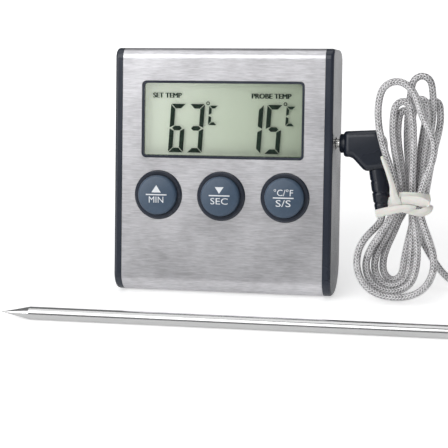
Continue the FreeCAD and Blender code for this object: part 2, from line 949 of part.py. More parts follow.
def magnet(side):
    """A disc magnet in a rear pocket, with its rim bevelled."""
    back = "case_deep - 0.1"
    disc = rod("y", (side, "case_deep - 2", "magnet_row"), "magnet_radius", "1.6")
    rim = taper("y", (side, f"{back} - 0.3", "magnet_row"), "magnet_radius", "magnet_radius - 0.3", "0.3")
    return fuse(disc, rim)


def buzzer_disc():
    """The brass disc of the buzzer, fixed inside the back."""
    return rod("y", ("0", "case_deep - 3.4", "stand_row + 16"), "8", "0.2")


def buzzer_ceramic():
    """The ceramic element of the buzzer."""
    return rod("y", ("0", "case_deep - 3.6", "stand_row + 16"), "5.5", "0.2")


def switch_body(side):
    """The shell of a slide switch on the back of the board, open where its slider runs."""
    shell = block(
        (f"{side} - 3.4", f"{side} + 3.4"), (BOARD_BACK, "11.9"), ("switch_row - 2.2", "switch_row + 2.2")
    )
    channel = block(
        (f"{side} - 2.9", f"{side} + 2.9"), ("9.4", "13"), ("switch_row - 1.25", "switch_row + 1.25")
    )
    return cut(shell, channel)


def switch_slider(side):
    """The slider of a switch at the left end of its travel, with a ribbed grip."""
    middle = f"{side} - switch_travel / 2"
    runner = block(
        (f"{middle} - 1.6", f"{middle} + 1.6"),
        ("9.5", "case_deep + 0.5"),
        ("switch_row - 1.15", "switch_row + 1.15"),
    )
    grooves = [
        block(
            (f"{middle} + {at} - 0.15", f"{middle} + {at} + 0.15"),
            ("case_deep + 0.2", "case_deep + 1"),
            ("switch_row - 2", "switch_row + 2"),
        )
        for at in (-0.8, 0, 0.8)
    ]
    return cut(runner, *grooves)


# ---------------------------------------------------------------- coiled lead

# Each turn of the hank, across from its waist: the foot's left and right sides and lowest point, the two
# crossings of the waist, then the head's left and right sides, its shoulder and its highest point.
TURNS = (
    (-14.0, 7.8, -29.0, -3.3, 3.4, -8.6, 1.4, 27.0, 32.4),
    (-11.8, 2.6, -27.6, -2.4, 1.2, -4.6, 0.5, 23.6, 26.8),
    (-9.6, 0.5, -26.2, -1.7, 0.8, -3.4, 0.0, 22.4, 24.3),
    (-7.5, -1.6, -24.6, -0.5, 2.1, 0.7, 4.1, 25.7, 27.6),
    (-12.7, 1.4, -27.7, -1.0, 2.8, -0.6, 5.4, 30.6, 34.2),
    (-10.6, -0.6, -27.1, 1.0, 3.6, 4.0, 7.5, 25.1, 27.1),
)
FOOT_SHOULDER = -20.5
CROSSING = ((7.2, 15.0), (3.6, 23.2))


def hank_point(across, up, turn):
    """A point of the hank from its waist, at the depth of a turn."""
    deep = number("coil_front") + turn * number("turn_pitch")
    return Vector(number("waist_side") + across, deep, number("waist_row") + up)


def arc_points(left, right, shoulder, peak, turn, angles):
    """Points of the half ellipse that joins two sides of a turn, by angle from its right side."""
    middle = (left + right) / 2
    half = (right - left) / 2
    return [
        hank_point(
            middle + half * math.cos(math.radians(angle)),
            shoulder + (peak - shoulder) * math.sin(math.radians(angle)),
            turn,
        )
        for angle in angles
    ]


def hank_points():
    """The centre line of the coiled lead in the unit's frame, from the strain relief to the table."""
    tilt = math.radians(RELIEF_TILT)
    top = Vector(number(RELIEF_TOP[0]), number("socket_deep"), number(RELIEF_TOP[1]))
    down = Vector(math.sin(tilt), 0, -math.cos(tilt))
    points = [top + down * step for step in (5, 7, 9, 11, 13)]
    points.append(hank_point(-11.8, -12.0, 0.9))
    for turn, sides in enumerate(TURNS):
        foot_left, foot_right, low, in_left, in_right, left, right, shoulder, high = sides
        points += arc_points(foot_left, foot_right, FOOT_SHOULDER, low, turn, (180, 140, 90, 40, 0))
        points.append(hank_point(in_right, -1.5, turn))
        if turn == 0:
            points += [hank_point(across, up, turn) for across, up in CROSSING]
            points += arc_points(left, right, shoulder, high, turn, (45, 90, 135, 180))
        else:
            points.append(hank_point((in_right + right) / 2 + 0.3, 12.0, turn))
            points += arc_points(left, right, shoulder, high, turn, (0, 45, 90, 135, 180))
        points.append(hank_point((in_left + left) / 2 - 0.5, 12.0, turn))
        points.append(hank_point(in_left, -1.5, turn + 0.05))
        if turn + 1 < len(TURNS):
            next_left = TURNS[turn + 1][0]
            points.append(hank_point(in_left * 0.45 + next_left * 0.55, -11.5, turn + 0.95))
    points.append(hank_point(2.0, -11.0, len(TURNS)))
    points.append(hank_point(5.6, -18.0, len(TURNS) + 0.1))
    points.append(hank_point(10.6, -24.0, len(TURNS)))
    return points


def tail_points():
    """The rest of the lead's centre line, lying on the table and turning back to the probe."""
    bend = number("lead_bend")
    floor = number("cable_radius")
    line = number("probe_line")
    axis = number("probe_radius")
    centre_x = number("probe_tip + probe_long") + 6
    points = [Vector(centre_x - 14, line + 2 * bend + 0.2, floor + 0.02)]
    for angle in (70, 35, 0, -35, -65):
        turn = math.radians(angle)
        points.append(
            Vector(
                centre_x + bend * math.cos(turn),
                line + bend + bend * math.sin(turn),
                floor + 0.02 if angle > 0 else axis,
            )
        )
    points.append(Vector(number("probe_tip + probe_long") + 4.2, line, axis))
    return points


def lead_curve():
    """The centre line of the whole lead: coil, run to the table and bend back to the probe."""
    from_table = LEANING.inverse()
    curve = Part.BSplineCurve()
    curve.interpolate(hank_points() + [from_table.multVec(point) for point in tail_points()])
    return curve


def cord(curve, first, last, spans, radius="cable_radius"):
    """A round cord along part of a centre line, swept in short spans."""
    marks = [first + (last - first) * step / spans for step in range(spans + 1)]
    path = Part.Wire([curve.toShape(low, high) for low, high in zip(marks, marks[1:])])
    section = Part.Wire(
        Part.makeCircle(number(radius), curve.value(first), curve.tangent(first)[0])
    )
    feature = doc.addObject("Part::Feature", "Cord")
    feature.Shape = path.makePipeShell([section], True, False)
    return group(feature)


def lead_split(curve):
    """Where along the centre line the coil ends and the run to the probe begins."""
    leaves = hank_point(10.6, -24.0, len(TURNS))
    return curve.parameter(leaves)


def cable_coil():
    """The hanging coil of braided lead."""
    curve = lead_curve()
    return cord(curve, curve.FirstParameter, lead_split(curve), 100)


def cable_lead():
    """The run of lead along the table, ending just short of the probe's crimp."""
    curve = lead_curve()
    return cord(curve, lead_split(curve), curve.LastParameter, 12)


def tie_strip(name, corners, front):
    """A flat strip of the tie in front of the coil, from corners measured from the waist."""
    body = new_body(name)
    sketch = new_sketch(body, "XZ_Plane", f"-({front})")
    outline(sketch, [(f"waist_side + ({across})", f"waist_row + ({up})") for across, up in corners])
    pad(body, sketch, "0.8")
    return body


TIE_LOW = "waist_row - 1.9"
TIE_HIGH = "waist_row + 1.3"


def twist_tie():
    """The tie round the waist of the coil: a band, a strap and ear in front and a tail up to the plug."""
    front = "coil_front - cable_radius - 0.15"
    back = f"coil_front + {len(TURNS) - 1} * turn_pitch + cable_radius + 0.35"
    band = cut(
        block(
            ("waist_side - 5.95", "waist_side + 6.5"),
            (f"{front} - 0.8", f"{back} + 0.8"),
            (TIE_LOW, TIE_HIGH),
        ),
        block(
            ("waist_side - 5.5", "waist_side + 5.8"),
            (front, back),
            (f"{TIE_LOW} - 1", f"{TIE_HIGH} + 1"),
        ),
    )
    over = f"{front} - 0.7"
    strap = tie_strip(
        "TieStrap", [(-8.8, -4.0), (-8.0, -6.0), (-1.3, -4.5), (3.4, -3.4), (3.4, -2.2), (-3.3, -2.3)], over
    )
    ear = tie_strip(
        "TieEar", [(3.2, 1.0), (3.2, -5.8), (5.9, -4.4), (6.9, -2.6), (6.7, -0.6), (5.2, 1.0)], over
    )
    tail = tie_strip(
        "TieTail",
        [(-4.6, -1.4), (-2.5, -1.4), (-2.7, 1.6), (-7.0, 12.0), (-7.9, 11.0), (-4.7, 2.4)],
        f"{front} - 0.15",
    )
    return fuse(band, ear, strap, tail)


# ---------------------------------------------------------------- probe

PROBE_END = "probe_tip + probe_long"


def probe_tube():
    """The stainless tube, closed by its ground point, turned about its own axis."""
    body = turned(
        "Tube",
        "XY_Plane",
        [
            ("0", "0"),
            ("probe_cone", "probe_radius"),
            ("probe_long - crimp_grip - 0.2", "probe_radius"),
            ("probe_long - crimp_grip - 0.2", "crimp_seat"),
            ("probe_long", "crimp_seat"),
            ("probe_long", "probe_bore"),
            ("probe_cone + 2", "probe_bore"),
            ("probe_cone - 1", "0.6"),
            ("probe_cone - 3", "0"),
        ],
        "H_Axis",
    )
    body.Placement = Placement(
        Vector(number("probe_tip"), number("probe_line"), number("probe_radius")), Rotation()
    )
    return group(body)


def probe_rod(start, radius, reach, across="0", up="0"):
    """A round piece on the probe's line, from a start along x."""
    return rod("x", (start, f"probe_line + {across}", f"probe_radius + {up}"), radius, reach)


def thermistor():
    """The sensing bead near the point."""
    start = "probe_tip + probe_cone + 3"
    return fuse(
        probe_rod(start, "0.7", "1.6"),
        ball((start, "probe_line", "probe_radius"), "0.7"),
        ball((f"{start} + 1.6", "probe_line", "probe_radius"), "0.7"),
    )


def sensor_wires():
    """The two wires from the bead to the rear of the tube."""
    start = "probe_tip + probe_cone + 5.35"
    return group(
        *[probe_rod(start, "0.2", f"{PROBE_END} - ({start}) - 1", "0", side) for side in ("0.45", "-0.45")]
    )


def probe_seal():
    """The resin plug that closes the rear of the tube round its two wires."""
    start = f"{PROBE_END} - 7"
    wires = [probe_rod(f"{start} - 1", "0.2", "9", "0", side) for side in ("0.45", "-0.45")]
    return cut(probe_rod(start, "probe_bore", "6"), *wires)


def probe_crimp():
    """The steel collar crimped over the rear of the tube, open for the lead."""
    start = f"{PROBE_END} - crimp_grip"
    barrel = probe_rod(start, "probe_radius + 0.5", "crimp_long")
    collar = taper(
        "x", (f"{start} + crimp_long", "probe_line", "probe_radius"), "probe_radius + 0.5", "1.7", "0.8"
    )
    waists = [
        cut(
            probe_rod(f"{start} + {at}", "probe_radius + 1", "0.7"),
            probe_rod(f"{start} + {at} - 1", "probe_radius + 0.25", "3"),
        )
        for at in (1.6, 3.2)
    ]
    bore = probe_rod(f"{start} - 1", "crimp_seat", "crimp_grip + 1")
    mouth = probe_rod(start, "cable_radius + 0.1", "crimp_long + 3")
    return cut(fuse(barrel, collar), bore, mouth, *waists)


# ---------------------------------------------------------------- the assembly

UNIT_PARTS = {
    "front_case": front_case,
    "steel_panel": steel_panel,
    "rear_case": rear_case,
    "case_screws": case_screws,
    "window_lens": window_lens,
    "lcd_front_glass": lcd_front_glass,
    "lcd_rear_glass": lcd_rear_glass,
    "lcd_reflector": lcd_reflector,
    "lcd_holder": lcd_holder,
    "zebra_strip": zebra_strip,
    "circuit_board": circuit_board,
    "board_screws": board_screws,
    "controller_chip": controller_chip,
    "crystal_can": crystal_can,
    "capacitor": capacitor,
    "keypad_mat": keypad_mat,
    "jack_socket": jack_socket,
    "socket_tabs": socket_tabs,
    "battery": battery,
    "battery_spring": battery_spring,
    "battery_plates": battery_plates,
    "battery_door": battery_door,
    "buzzer_disc": buzzer_disc,
    "buzzer_ceramic": buzzer_ceramic,
    "plug_sleeve": plug_sleeve,
    "plug_insulator": plug_insulator,
    "plug_tip": plug_tip,
    "plug_housing": plug_housing,
    "strain_relief": strain_relief,
    "cable_coil": cable_coil,
    "cable_lead": cable_lead,
    "twist_tie": twist_tie,
}
for label, build in UNIT_PARTS.items():
    sub_part(label, build(), LEANING)
for label, side in KEY_SIDES.items():
    sub_part(label, key_cap(side), LEANING)
for name, side in (("left", "-1"), ("right", "1")):
    sub_part(f"magnet_{name}", magnet(f"{side} * magnet_side"), LEANING)
for name, side in (("power", "-1"), ("mode", "1")):
    sub_part(f"{name}_switch_body", switch_body(f"{side} * switch_side"), LEANING)
    sub_part(f"{name}_switch_slider", switch_slider(f"{side} * switch_side"), LEANING)
sub_part("kickstand", kickstand(), stand_place())
for build in (probe_tube, thermistor, sensor_wires, probe_seal, probe_crimp):
    sub_part(build.__name__, build(), ON_TABLE)

doc.recompute()

# ---------------------------------------------------------------- checks and files

for thing in doc.Objects:
    if {"Invalid", "Error"} & set(thing.State):
        raise RuntimeError(f"{thing.Name} failed: {thing.State}")
for thing in sub_parts:
    shape = thing.Shape
    if shape.isNull() or not shape.isValid() or not shape.Solids:
        raise RuntimeError(f"{thing.Label} has no valid solid")

os.makedirs("parts", exist_ok=True)
for thing in sub_parts:
    thing.Shape.exportStep(os.path.join("parts", f"{thing.Label}.step"))
    print(f"{thing.Label:22s} {len(thing.Shape.Solids)} solid(s) {thing.Shape.Volume:10.1f} mm3")
print(f"{len(sub_parts)} sub-parts, stand open {stand_opening():.2f} degrees")
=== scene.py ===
import json
import math

import bpy
import numpy as np
from mathutils import Matrix, Vector


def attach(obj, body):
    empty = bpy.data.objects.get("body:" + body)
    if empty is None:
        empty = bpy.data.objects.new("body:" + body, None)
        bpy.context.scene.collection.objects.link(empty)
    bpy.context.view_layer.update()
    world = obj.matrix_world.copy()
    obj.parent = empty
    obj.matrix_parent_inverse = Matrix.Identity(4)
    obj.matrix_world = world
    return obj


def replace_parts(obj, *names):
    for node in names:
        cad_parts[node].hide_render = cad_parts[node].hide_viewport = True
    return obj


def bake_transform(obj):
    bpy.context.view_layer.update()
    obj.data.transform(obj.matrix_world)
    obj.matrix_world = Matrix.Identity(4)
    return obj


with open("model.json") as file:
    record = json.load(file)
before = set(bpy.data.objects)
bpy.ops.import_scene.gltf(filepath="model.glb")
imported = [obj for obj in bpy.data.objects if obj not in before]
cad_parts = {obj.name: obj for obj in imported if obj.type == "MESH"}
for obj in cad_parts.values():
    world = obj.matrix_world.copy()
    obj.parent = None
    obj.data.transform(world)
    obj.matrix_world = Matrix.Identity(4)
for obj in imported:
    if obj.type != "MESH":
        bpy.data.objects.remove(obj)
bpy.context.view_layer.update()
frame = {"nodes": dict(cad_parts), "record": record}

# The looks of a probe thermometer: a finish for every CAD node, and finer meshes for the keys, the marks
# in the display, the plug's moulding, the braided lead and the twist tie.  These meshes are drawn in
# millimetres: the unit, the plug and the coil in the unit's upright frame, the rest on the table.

NODES = frame["nodes"]
MM = 0.001

# ---------------------------------------------------------------- the unit's upright frame, in millimetres

LEAN = math.radians(16.0)
HEEL_ROUND = 10.0
HEEL_DEEP = 5.5
LIFT = HEEL_ROUND - (HEEL_ROUND * math.cos(LEAN) - HEEL_DEEP * math.sin(LEAN))
UPRIGHT = Matrix.Translation((0, 0, LIFT)) @ Matrix.Rotation(-LEAN, 4, "X")
UNIT = Matrix.Scale(MM, 4) @ UPRIGHT
TABLE = Matrix.Scale(MM, 4)


# ---------------------------------------------------------------- shader helpers


def tree_of(material):
    """An emptied node tree."""
    material.use_nodes = True
    material.node_tree.nodes.clear()
    return material.node_tree


def add(tree, kind, inputs=None, **settings):
    """A shader node; an input takes a value or another node's output."""
    made = tree.nodes.new("ShaderNode" + kind)
    for key, value in settings.items():
        setattr(made, key, value)
    for key, value in (inputs or {}).items():
        if isinstance(value, bpy.types.NodeSocket):
            tree.links.new(value, made.inputs[key])
        else:
            made.inputs[key].default_value = value
    return made


def calc(tree, operation, *values):
    """The output of a math node."""
    return add(tree, "Math", dict(enumerate(values)), operation=operation).outputs[0]


def noise(tree, stretch, scale, detail=4.0, turn=LEAN):
    """Noise over the object's own coordinates, stretched along the unit's axes."""
    coords = add(tree, "TexCoord").outputs["Object"]
    mapped = add(
        tree, "Mapping", {"Vector": coords, "Rotation": (turn, 0, 0), "Scale": stretch}
    ).outputs[0]
    return add(
        tree, "TexNoise", {"Vector": mapped, "Scale": scale, "Detail": detail, "Roughness": 0.55}
    ).outputs[0]


def spread(tree, value, low, high, first=0.3, last=0.7):
    """A value between two limits, driven by another value."""
    return add(
        tree,
        "MapRange",
        {"Value": value, "From Min": first, "From Max": last, "To Min": low, "To Max": high},
    ).outputs[0]


def shade(colour, factor):
    """A colour made lighter or darker."""
    return tuple(min(1.0, part * factor) for part in colour[:3]) + (1.0,)


def tint(tree, value, dark, light):
    """A colour between two, driven by a value."""
    ramp = add(tree, "ValToRGB", {"Fac": value})
    ramp.color_ramp.elements[0].color = dark
    ramp.color_ramp.elements[1].color = light
    ramp.color_ramp.elements[0].position = 0.3
    ramp.color_ramp.elements[1].position = 0.7
    return ramp.outputs[0]


def surface(
    name,
    colour,
    roughness,
    metallic=0.0,
    grain=900.0,
    stretch=(1, 1, 1),
    variety=0.12,
    wear=0.06,
    bump=0.05,
    **more,
):
    """An opaque finish: fine grain for bump and colour, broad smudges for sheen."""
    material = bpy.data.materials.new(name)
    tree = tree_of(material)
    fine = noise(tree, stretch, grain)
    broad = noise(tree, (1, 1, 1), 60.0, 3.0)
    both = calc(tree, "ADD", calc(tree, "MULTIPLY", fine, 0.6), calc(tree, "MULTIPLY", broad, 0.4))
    normal = add(tree, "Bump", {"Height": fine, "Strength": bump, "Distance": 0.0001}).outputs[0]
    inputs = {
        "Base Color": tint(tree, both, shade(colour, 1 - variety), shade(colour, 1 + variety)),
        "Roughness": spread(tree, broad, max(0.02, roughness - wear), roughness + wear),
        "Metallic": metallic,
        "Normal": normal,
    }
    inputs.update(more)
    shader = add(tree, "BsdfPrincipled", inputs)
    add(tree, "OutputMaterial", {"Surface": shader.outputs[0]})
    return material


def clear(name, colour, sheen):
    """A clear sheet that lets light straight through, with a faint smudged reflection."""
    material = bpy.data.materials.new(name)
    tree = tree_of(material)
    smudge = noise(tree, (1, 1, 1), 90.0)
    through = add(tree, "BsdfTransparent", {"Color": colour})
    mirror = add(
        tree, "BsdfGlossy", {"Color": (1, 1, 1, 1), "Roughness": spread(tree, smudge, 0.03, 0.09)}
    )
    facing = add(tree, "Fresnel", {"IOR": 1.45}).outputs[0]
    amount = calc(tree, "MULTIPLY", facing, sheen)
    mixed = add(tree, "MixShader", {0: amount, 1: through.outputs[0], 2: mirror.outputs[0]})
    add(tree, "OutputMaterial", {"Surface": mixed.outputs[0]})
    return material


# ---------------------------------------------------------------- finishes

DISPLAY_HALF = 0.024
FINISH = {
    "dark_plastic": surface("DarkPlastic", (0.022, 0.028, 0.043), 0.24, grain=1500, bump=0.04),
    "brushed_steel": surface(
        "BrushedSteel",
        (0.60, 0.595, 0.615),
        0.33,
        1.0,
        grain=2900,
        stretch=(0.12, 1, 1),
        variety=0.27,
        wear=0.03,
        bump=0.25,
    ),
    "key_plastic": surface("KeyPlastic", (0.054, 0.088, 0.138), 0.36, grain=1300, bump=0.05),
    "clear_lens": clear("ClearLens", (0.99, 0.995, 0.99, 1), 0.3),
    "lcd_glass": clear("LcdGlass", (0.985, 0.993, 0.982, 1), 0.1),
    "inner_plastic": surface("InnerPlastic", (0.70, 0.70, 0.66), 0.5),
    "zebra_rubber": surface(
        "ZebraRubber", (0.16, 0.16, 0.17), 0.7, grain=1200, stretch=(1, 0.02, 0.02), variety=0.9
    ),
    "board": surface("Board", (0.02, 0.17, 0.06), 0.35, grain=700, variety=0.3),
    "resin": surface("Resin", (0.012, 0.012, 0.013), 0.18, bump=0.1, grain=300),
    "silicone": surface("Silicone", (0.45, 0.47, 0.50), 0.6),
    "bright_metal": surface("BrightMetal", (0.80, 0.79, 0.76), 0.16, 1.0, bump=0.03),
    "screw_steel": surface("ScrewSteel", (0.50, 0.50, 0.51), 0.32, 1.0, bump=0.08),
    "brass": surface("Brass", (0.80, 0.60, 0.25), 0.3, 1.0, stretch=(0.05, 1, 1)),
    "ceramic": surface("Ceramic", (0.80, 0.77, 0.68), 0.45),
    "cell_wrap": surface("CellWrap", (0.05, 0.06, 0.07), 0.28, variety=0.3),
    "magnet_nickel": surface("MagnetNickel", (0.62, 0.61, 0.58), 0.22, 1.0, bump=0.06),
    "slider_plastic": surface("SliderPlastic", (0.015, 0.015, 0.017), 0.35),
    "plug_rubber": surface("PlugRubber", (0.010, 0.014, 0.024), 0.26, grain=1100, bump=0.08),
    "insulator": surface("Insulator", (0.03, 0.03, 0.03), 0.5),
    "probe_steel": surface(
        "ProbeSteel",
        (0.60, 0.60, 0.60),
        0.15,
        1.0,
        grain=1600,
        stretch=(0.04, 1, 1),
        variety=0.05,
        wear=0.03,
        bump=0.05,
    ),
    "crimp_steel": surface("CrimpSteel", (0.60, 0.60, 0.60), 0.28, 1.0, bump=0.1),
    "bead": surface("Bead", (0.25, 0.02, 0.02), 0.2),
    "wire": surface("Wire", (0.55, 0.08, 0.06), 0.35),
    "tie": surface(
        "TiePaper",
        (0.83, 0.79, 0.745),
        0.62,
        grain=700,
        variety=0.05,
        bump=0.25,
        **{"Subsurface Weight": 0.25, "Subsurface Scale": 0.002},
    ),
    "print_white": surface("PrintWhite", (0.80, 0.83, 0.86), 0.5, variety=0.06),
    "segment": surface(
        "Segment", (0.014, 0.030, 0.020), 0.6, variety=0.2, **{"Specular IOR Level": 0.1}
    ),
}


def reflector_painted_light_finish():
    """The pearly film behind the display, with painted light: painted lighter and cooler on the left,
    darker and greener on the right, and given a painted glow that is strongest on the left.
    """
    material = bpy.data.materials.new("LcdReflectorPaintedLight")
    tree = tree_of(material)
    coords = add(tree, "TexCoord").outputs["Object"]
    across = add(tree, "SeparateXYZ", {0: coords}).outputs[0]
    cloud = noise(tree, (1, 1, 1), 45.0, 2.0)
    # Painted light: the colour runs from light on the left to dark on the right, as light falls across the
    # display, with a random cloud on top.
    place = calc(
        tree,
        "ADD",
        spread(tree, across, 0.0, 1.0, -DISPLAY_HALF, DISPLAY_HALF),
        calc(tree, "MULTIPLY", calc(tree, "SUBTRACT", cloud, 0.5), 0.5),
    )
    ramp = add(tree, "ValToRGB", {"Fac": place})
    ramp.color_ramp.elements[0].color = (0.93, 0.95, 0.88, 1)
    ramp.color_ramp.elements[1].color = (0.74, 0.79, 0.67, 1)
    grain = noise(tree, (1, 1, 1), 3000.0, 2.0)
    normal = add(tree, "Bump", {"Height": grain, "Strength": 0.08, "Distance": 0.0001}).outputs[0]
    # The emission is a painted glow, stronger on the left; the film is no lamp.
    shader = add(
        tree,
        "BsdfPrincipled",
        {
            "Base Color": ramp.outputs[0],
            "Roughness": 0.5,
            "Normal": normal,
            "Emission Color": ramp.outputs[0],
            "Emission Strength": spread(tree, across, 0.30, 0.06, -DISPLAY_HALF, DISPLAY_HALF),
        },
    )
    add(tree, "OutputMaterial", {"Surface": shader.outputs[0]})
    return material


FINISH["lcd_reflector"] = reflector_painted_light_finish()

# ---------------------------------------------------------------- braid

BRAID_STEP = 0.92
BRAID_ENDS = 8
BRAID_DIP = 0.06


def braid_painted_shade_finish():
    """Plaited wire: two families of slanting strands that take turns on top, in columns, with painted
    shade dark in the gaps between strands and the strand on top painted lighter.
    """
    material = bpy.data.materials.new("BraidPaintedShade")
    tree = tree_of(material)
    uv = add(tree, "SeparateXYZ", {0: add(tree, "TexCoord").outputs["UV"]}).outputs
    along = calc(tree, "DIVIDE", uv[0], BRAID_STEP)
    around = calc(tree, "MULTIPLY", uv[1], float(BRAID_ENDS))
    column = calc(tree, "COSINE", calc(tree, "MULTIPLY", around, math.pi))
    strands = []
    for operation, share in (("ADD", 0.55), ("SUBTRACT", -0.55)):
        phase = calc(tree, "MULTIPLY", calc(tree, operation, along, around), math.pi)
        ridge = calc(tree, "ABSOLUTE", calc(tree, "COSINE", phase))
        strands.append(calc(tree, "ADD", ridge, calc(tree, "MULTIPLY", column, share)))
    top = calc(tree, "MAXIMUM", *strands)
    wires = calc(tree, "SUBTRACT", noise(tree, (1, 1, 1), 1500.0, 3.0), 0.5)
    patchy = calc(tree, "SUBTRACT", noise(tree, (1, 1, 1), 330.0, 2.0), 0.5)
    rough = calc(tree, "ADD", calc(tree, "MULTIPLY", wires, 0.9), calc(tree, "MULTIPLY", patchy, 0.9))
    mixed = calc(tree, "ADD", top, rough)
    # Painted shade: the strand heights that drive the bump also darken the gaps and lighten the strand on
    # top; the wire and patch noise is random tone.
    ramp = add(tree, "ValToRGB", {"Fac": calc(tree, "MULTIPLY", mixed, 0.66)})
    ramp.color_ramp.elements[0].position = 0.26
    ramp.color_ramp.elements[0].color = (0.045, 0.043, 0.048, 1)
    ramp.color_ramp.elements[1].position = 0.78
    ramp.color_ramp.elements[1].color = (0.84, 0.83, 0.84, 1)
    normal = add(tree, "Bump", {"Height": mixed, "Strength": 0.6, "Distance": 0.0002}).outputs[0]
    shader = add(
        tree,
        "BsdfPrincipled",
        {
            "Base Color": ramp.outputs[0],
            "Metallic": 0.4,
            "Roughness": 0.42,
            "Normal": normal,
        },
    )
    add(tree, "OutputMaterial", {"Surface": shader.outputs[0]})
    return material


FINISH["braid"] = braid_painted_shade_finish()


# ---------------------------------------------------------------- mesh helpers


def mesh_object(name, points, faces, place, finish, body, uvs=None, smooth=True):
    """A mesh built in millimetres, moved to its place and riding on a CAD body."""
    mesh = bpy.data.meshes.new(name)
    mesh.from_pydata([tuple(p) for p in points], [], faces)
    if uvs is not None:
        layer = mesh.uv_layers.new(name="Along")
        corners = np.empty(len(mesh.loops), np.int32)
        mesh.loops.foreach_get("vertex_index", corners)
        layer.data.foreach_set("uv", np.asarray(uvs, np.float32)[corners].ravel())
    mesh.transform(place)
    mesh.validate()
    if smooth:
        mesh.polygons.foreach_set("use_smooth", [True] * len(mesh.polygons))
    mesh.materials.append(FINISH[finish])
    thing = bpy.data.objects.new(name, mesh)
    bpy.context.scene.collection.objects.link(thing)
    if body:
        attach(thing, body)
    return thing


def skin(rings, steps, closed=True, flip=False):
    """Faces that join each ring of points to the next one, the other way round when flipped."""
    size = steps if closed else steps + 1
    faces = []
    for ring in range(rings - 1):
        near = ring * size
        far = near + size
        for step in range(steps):
            following = (step + 1) % size
            corners = (near + step, near + following, far + following, far + step)
            faces.append(corners[:1] + corners[:0:-1] if flip else corners)
    return faces


def lathe(profile, steps=96):
    """Points and faces of a profile of (radius, depth) pairs turned about the Y axis."""
    points = []
    for radius, depth in profile:
        for step in range(steps):
            angle = 2 * math.pi * step / steps
            points.append((radius * math.cos(angle), depth, radius * math.sin(angle)))
    return points, skin(len(profile), steps)


def prism(outlines, front, back):
    """Points and faces of flat outlines in the XZ plane, thickened between two depths."""
    points = []
    faces = []
    for corners in outlines:
        first = len(points)
        count = len(corners)
        points += [(x, front, z) for x, z in corners] + [(x, back, z) for x, z in corners]
        faces.append(tuple(range(first, first + count)))
        faces.append(tuple(range(first + 2 * count - 1, first + count - 1, -1)))
        faces += [tuple(first + corner for corner in face) for face in skin(2, count, flip=True)]
    return points, faces


# ---------------------------------------------------------------- keys

KEY_PITCH = 18.98
KEY_ROW = 28.5
KEY_RADIUS = 5.8
KEY_PROUD = 2.5
KEY_FACE = 4.95
KEY_EDGE = KEY_RADIUS - KEY_FACE
FLANGE = (6.7, 2.1, 2.9)
STEM = (2.5, 4.4)
PRINT_LIFT = 0.03


def crown(radius):
    """How far the face of a key has fallen back from its middle."""
    return 0.42 * (radius / 5.0) ** 2


def key_profile():
    """From the middle of the cap's face, round its edge, to the flange and stem."""
    profile = [(radius, -KEY_PROUD + crown(radius)) for radius in (0.001, 1.2, 2.4, 3.6, 4.5, KEY_FACE)]
    start = -KEY_PROUD + crown(KEY_FACE)
    for angle in range(15, 91, 15):
        turn = math.radians(angle)
        profile.append((KEY_FACE + KEY_EDGE * math.sin(turn), start + KEY_EDGE * (1 - math.cos(turn))))
    wide, front, back = FLANGE
    narrow, end = STEM
    profile += [(KEY_RADIUS, front), (wide, front), (wide, back)]
    return profile + [(narrow, back), (narrow, end), (0.001, end)]


def key(name, side, body):
    """A moulded key."""
    turned, faces = lathe(key_profile())
    points = [(side + x, y, KEY_ROW + z) for x, y, z in turned]
    thing = mesh_object(f"{name}_moulding", points, faces, UNIT, "key_plastic", body)
    thing.data.set_sharp_from_angle(angle=math.radians(50))
    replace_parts(thing, name)


def lettering(text, width, height):
    """The mesh of a word, fitted to a width and a height about its own middle."""
    curve = bpy.data.curves.new("Lettering", "FONT")
    curve.body = text
    curve.resolution_u = 3
    holder = bpy.data.objects.new("Lettering", curve)
    bpy.context.scene.collection.objects.link(holder)
    bpy.context.view_layer.update()
    mesh = bpy.data.meshes.new_from_object(holder.evaluated_get(bpy.context.evaluated_depsgraph_get()))
    points = np.array([v.co for v in mesh.vertices], float).reshape(-1, 3)[:, :2]
    faces = [tuple(face.vertices) for face in mesh.polygons]
    bpy.data.objects.remove(holder)
    low, high = points.min(0), points.max(0)
    points = (points - (low + high) / 2) / (high - low) * (width, height)
    return points.tolist(), faces


def legend(name, side, body, pieces):
    """Printed marks that lie on the domed face of a key."""
    points = []
    faces = []
    for flat, links in pieces:
        first = len(points)
        for x, z in flat:
            points.append((side + x, crown(math.hypot(x, z)) - KEY_PROUD - PRINT_LIFT, KEY_ROW + z))
        faces += [tuple(first + corner for corner in link) for link in links]
    mesh_object(name, points, faces, UNIT, "print_white", body, smooth=False)


def bar(width, height, up, cuts=12):
    """A printed bar, cut along its length so that it follows the dome."""
    flat = []
    for step in range(cuts + 1):
        across = -width / 2 + width * step / cuts
        flat += [(across, up - height / 2), (across, up + height / 2)]
    return flat, [(2 * step, 2 * step + 2, 2 * step + 3, 2 * step + 1) for step in range(cuts)]


def word(text, width, height, up):
    """A printed word at a height on a key."""
    flat, faces = lettering(text, width, height)
    return [(x, z + up) for x, z in flat], faces


def arrow(half, base, tip, cuts=8):
    """A printed arrow head, cut across so that it follows the dome."""
    flat = []
    for step in range(cuts + 1):
        share = step / cuts
        up = base + (tip - base) * share
        reach = half * (1 - share) + 0.02
        flat += [(-reach, up), (0.0, up), (reach, up)]
    faces = []
    for step in range(cuts):
        for side in (0, 1):
            corner = 3 * step + side
            faces.append((corner, corner + 1, corner + 4, corner + 3))
    return flat, faces


for label, side, marks in (
    ("min", -KEY_PITCH, [arrow(1.4, 0.75, 2.9), bar(6.3, 0.34, 0.1), word("MIN", 4.4, 1.8, -1.35)]),
    ("sec", 0.0, [arrow(1.3, 2.75, 0.85), bar(6.2, 0.34, 0.25), word("SEC", 5.2, 1.85, -1.35)]),
    (
        "mode",
        KEY_PITCH,
        [word("°C/°F", 5.7, 1.95, 1.6), bar(6.1, 0.34, 0.05), word("S/S", 4.4, 1.95, -1.5)],
    ),
):
    key(f"button_{label}", side, f"{label}_key")
    legend(f"legend_{label}", side, f"{label}_key", marks)

# ---------------------------------------------------------------- display

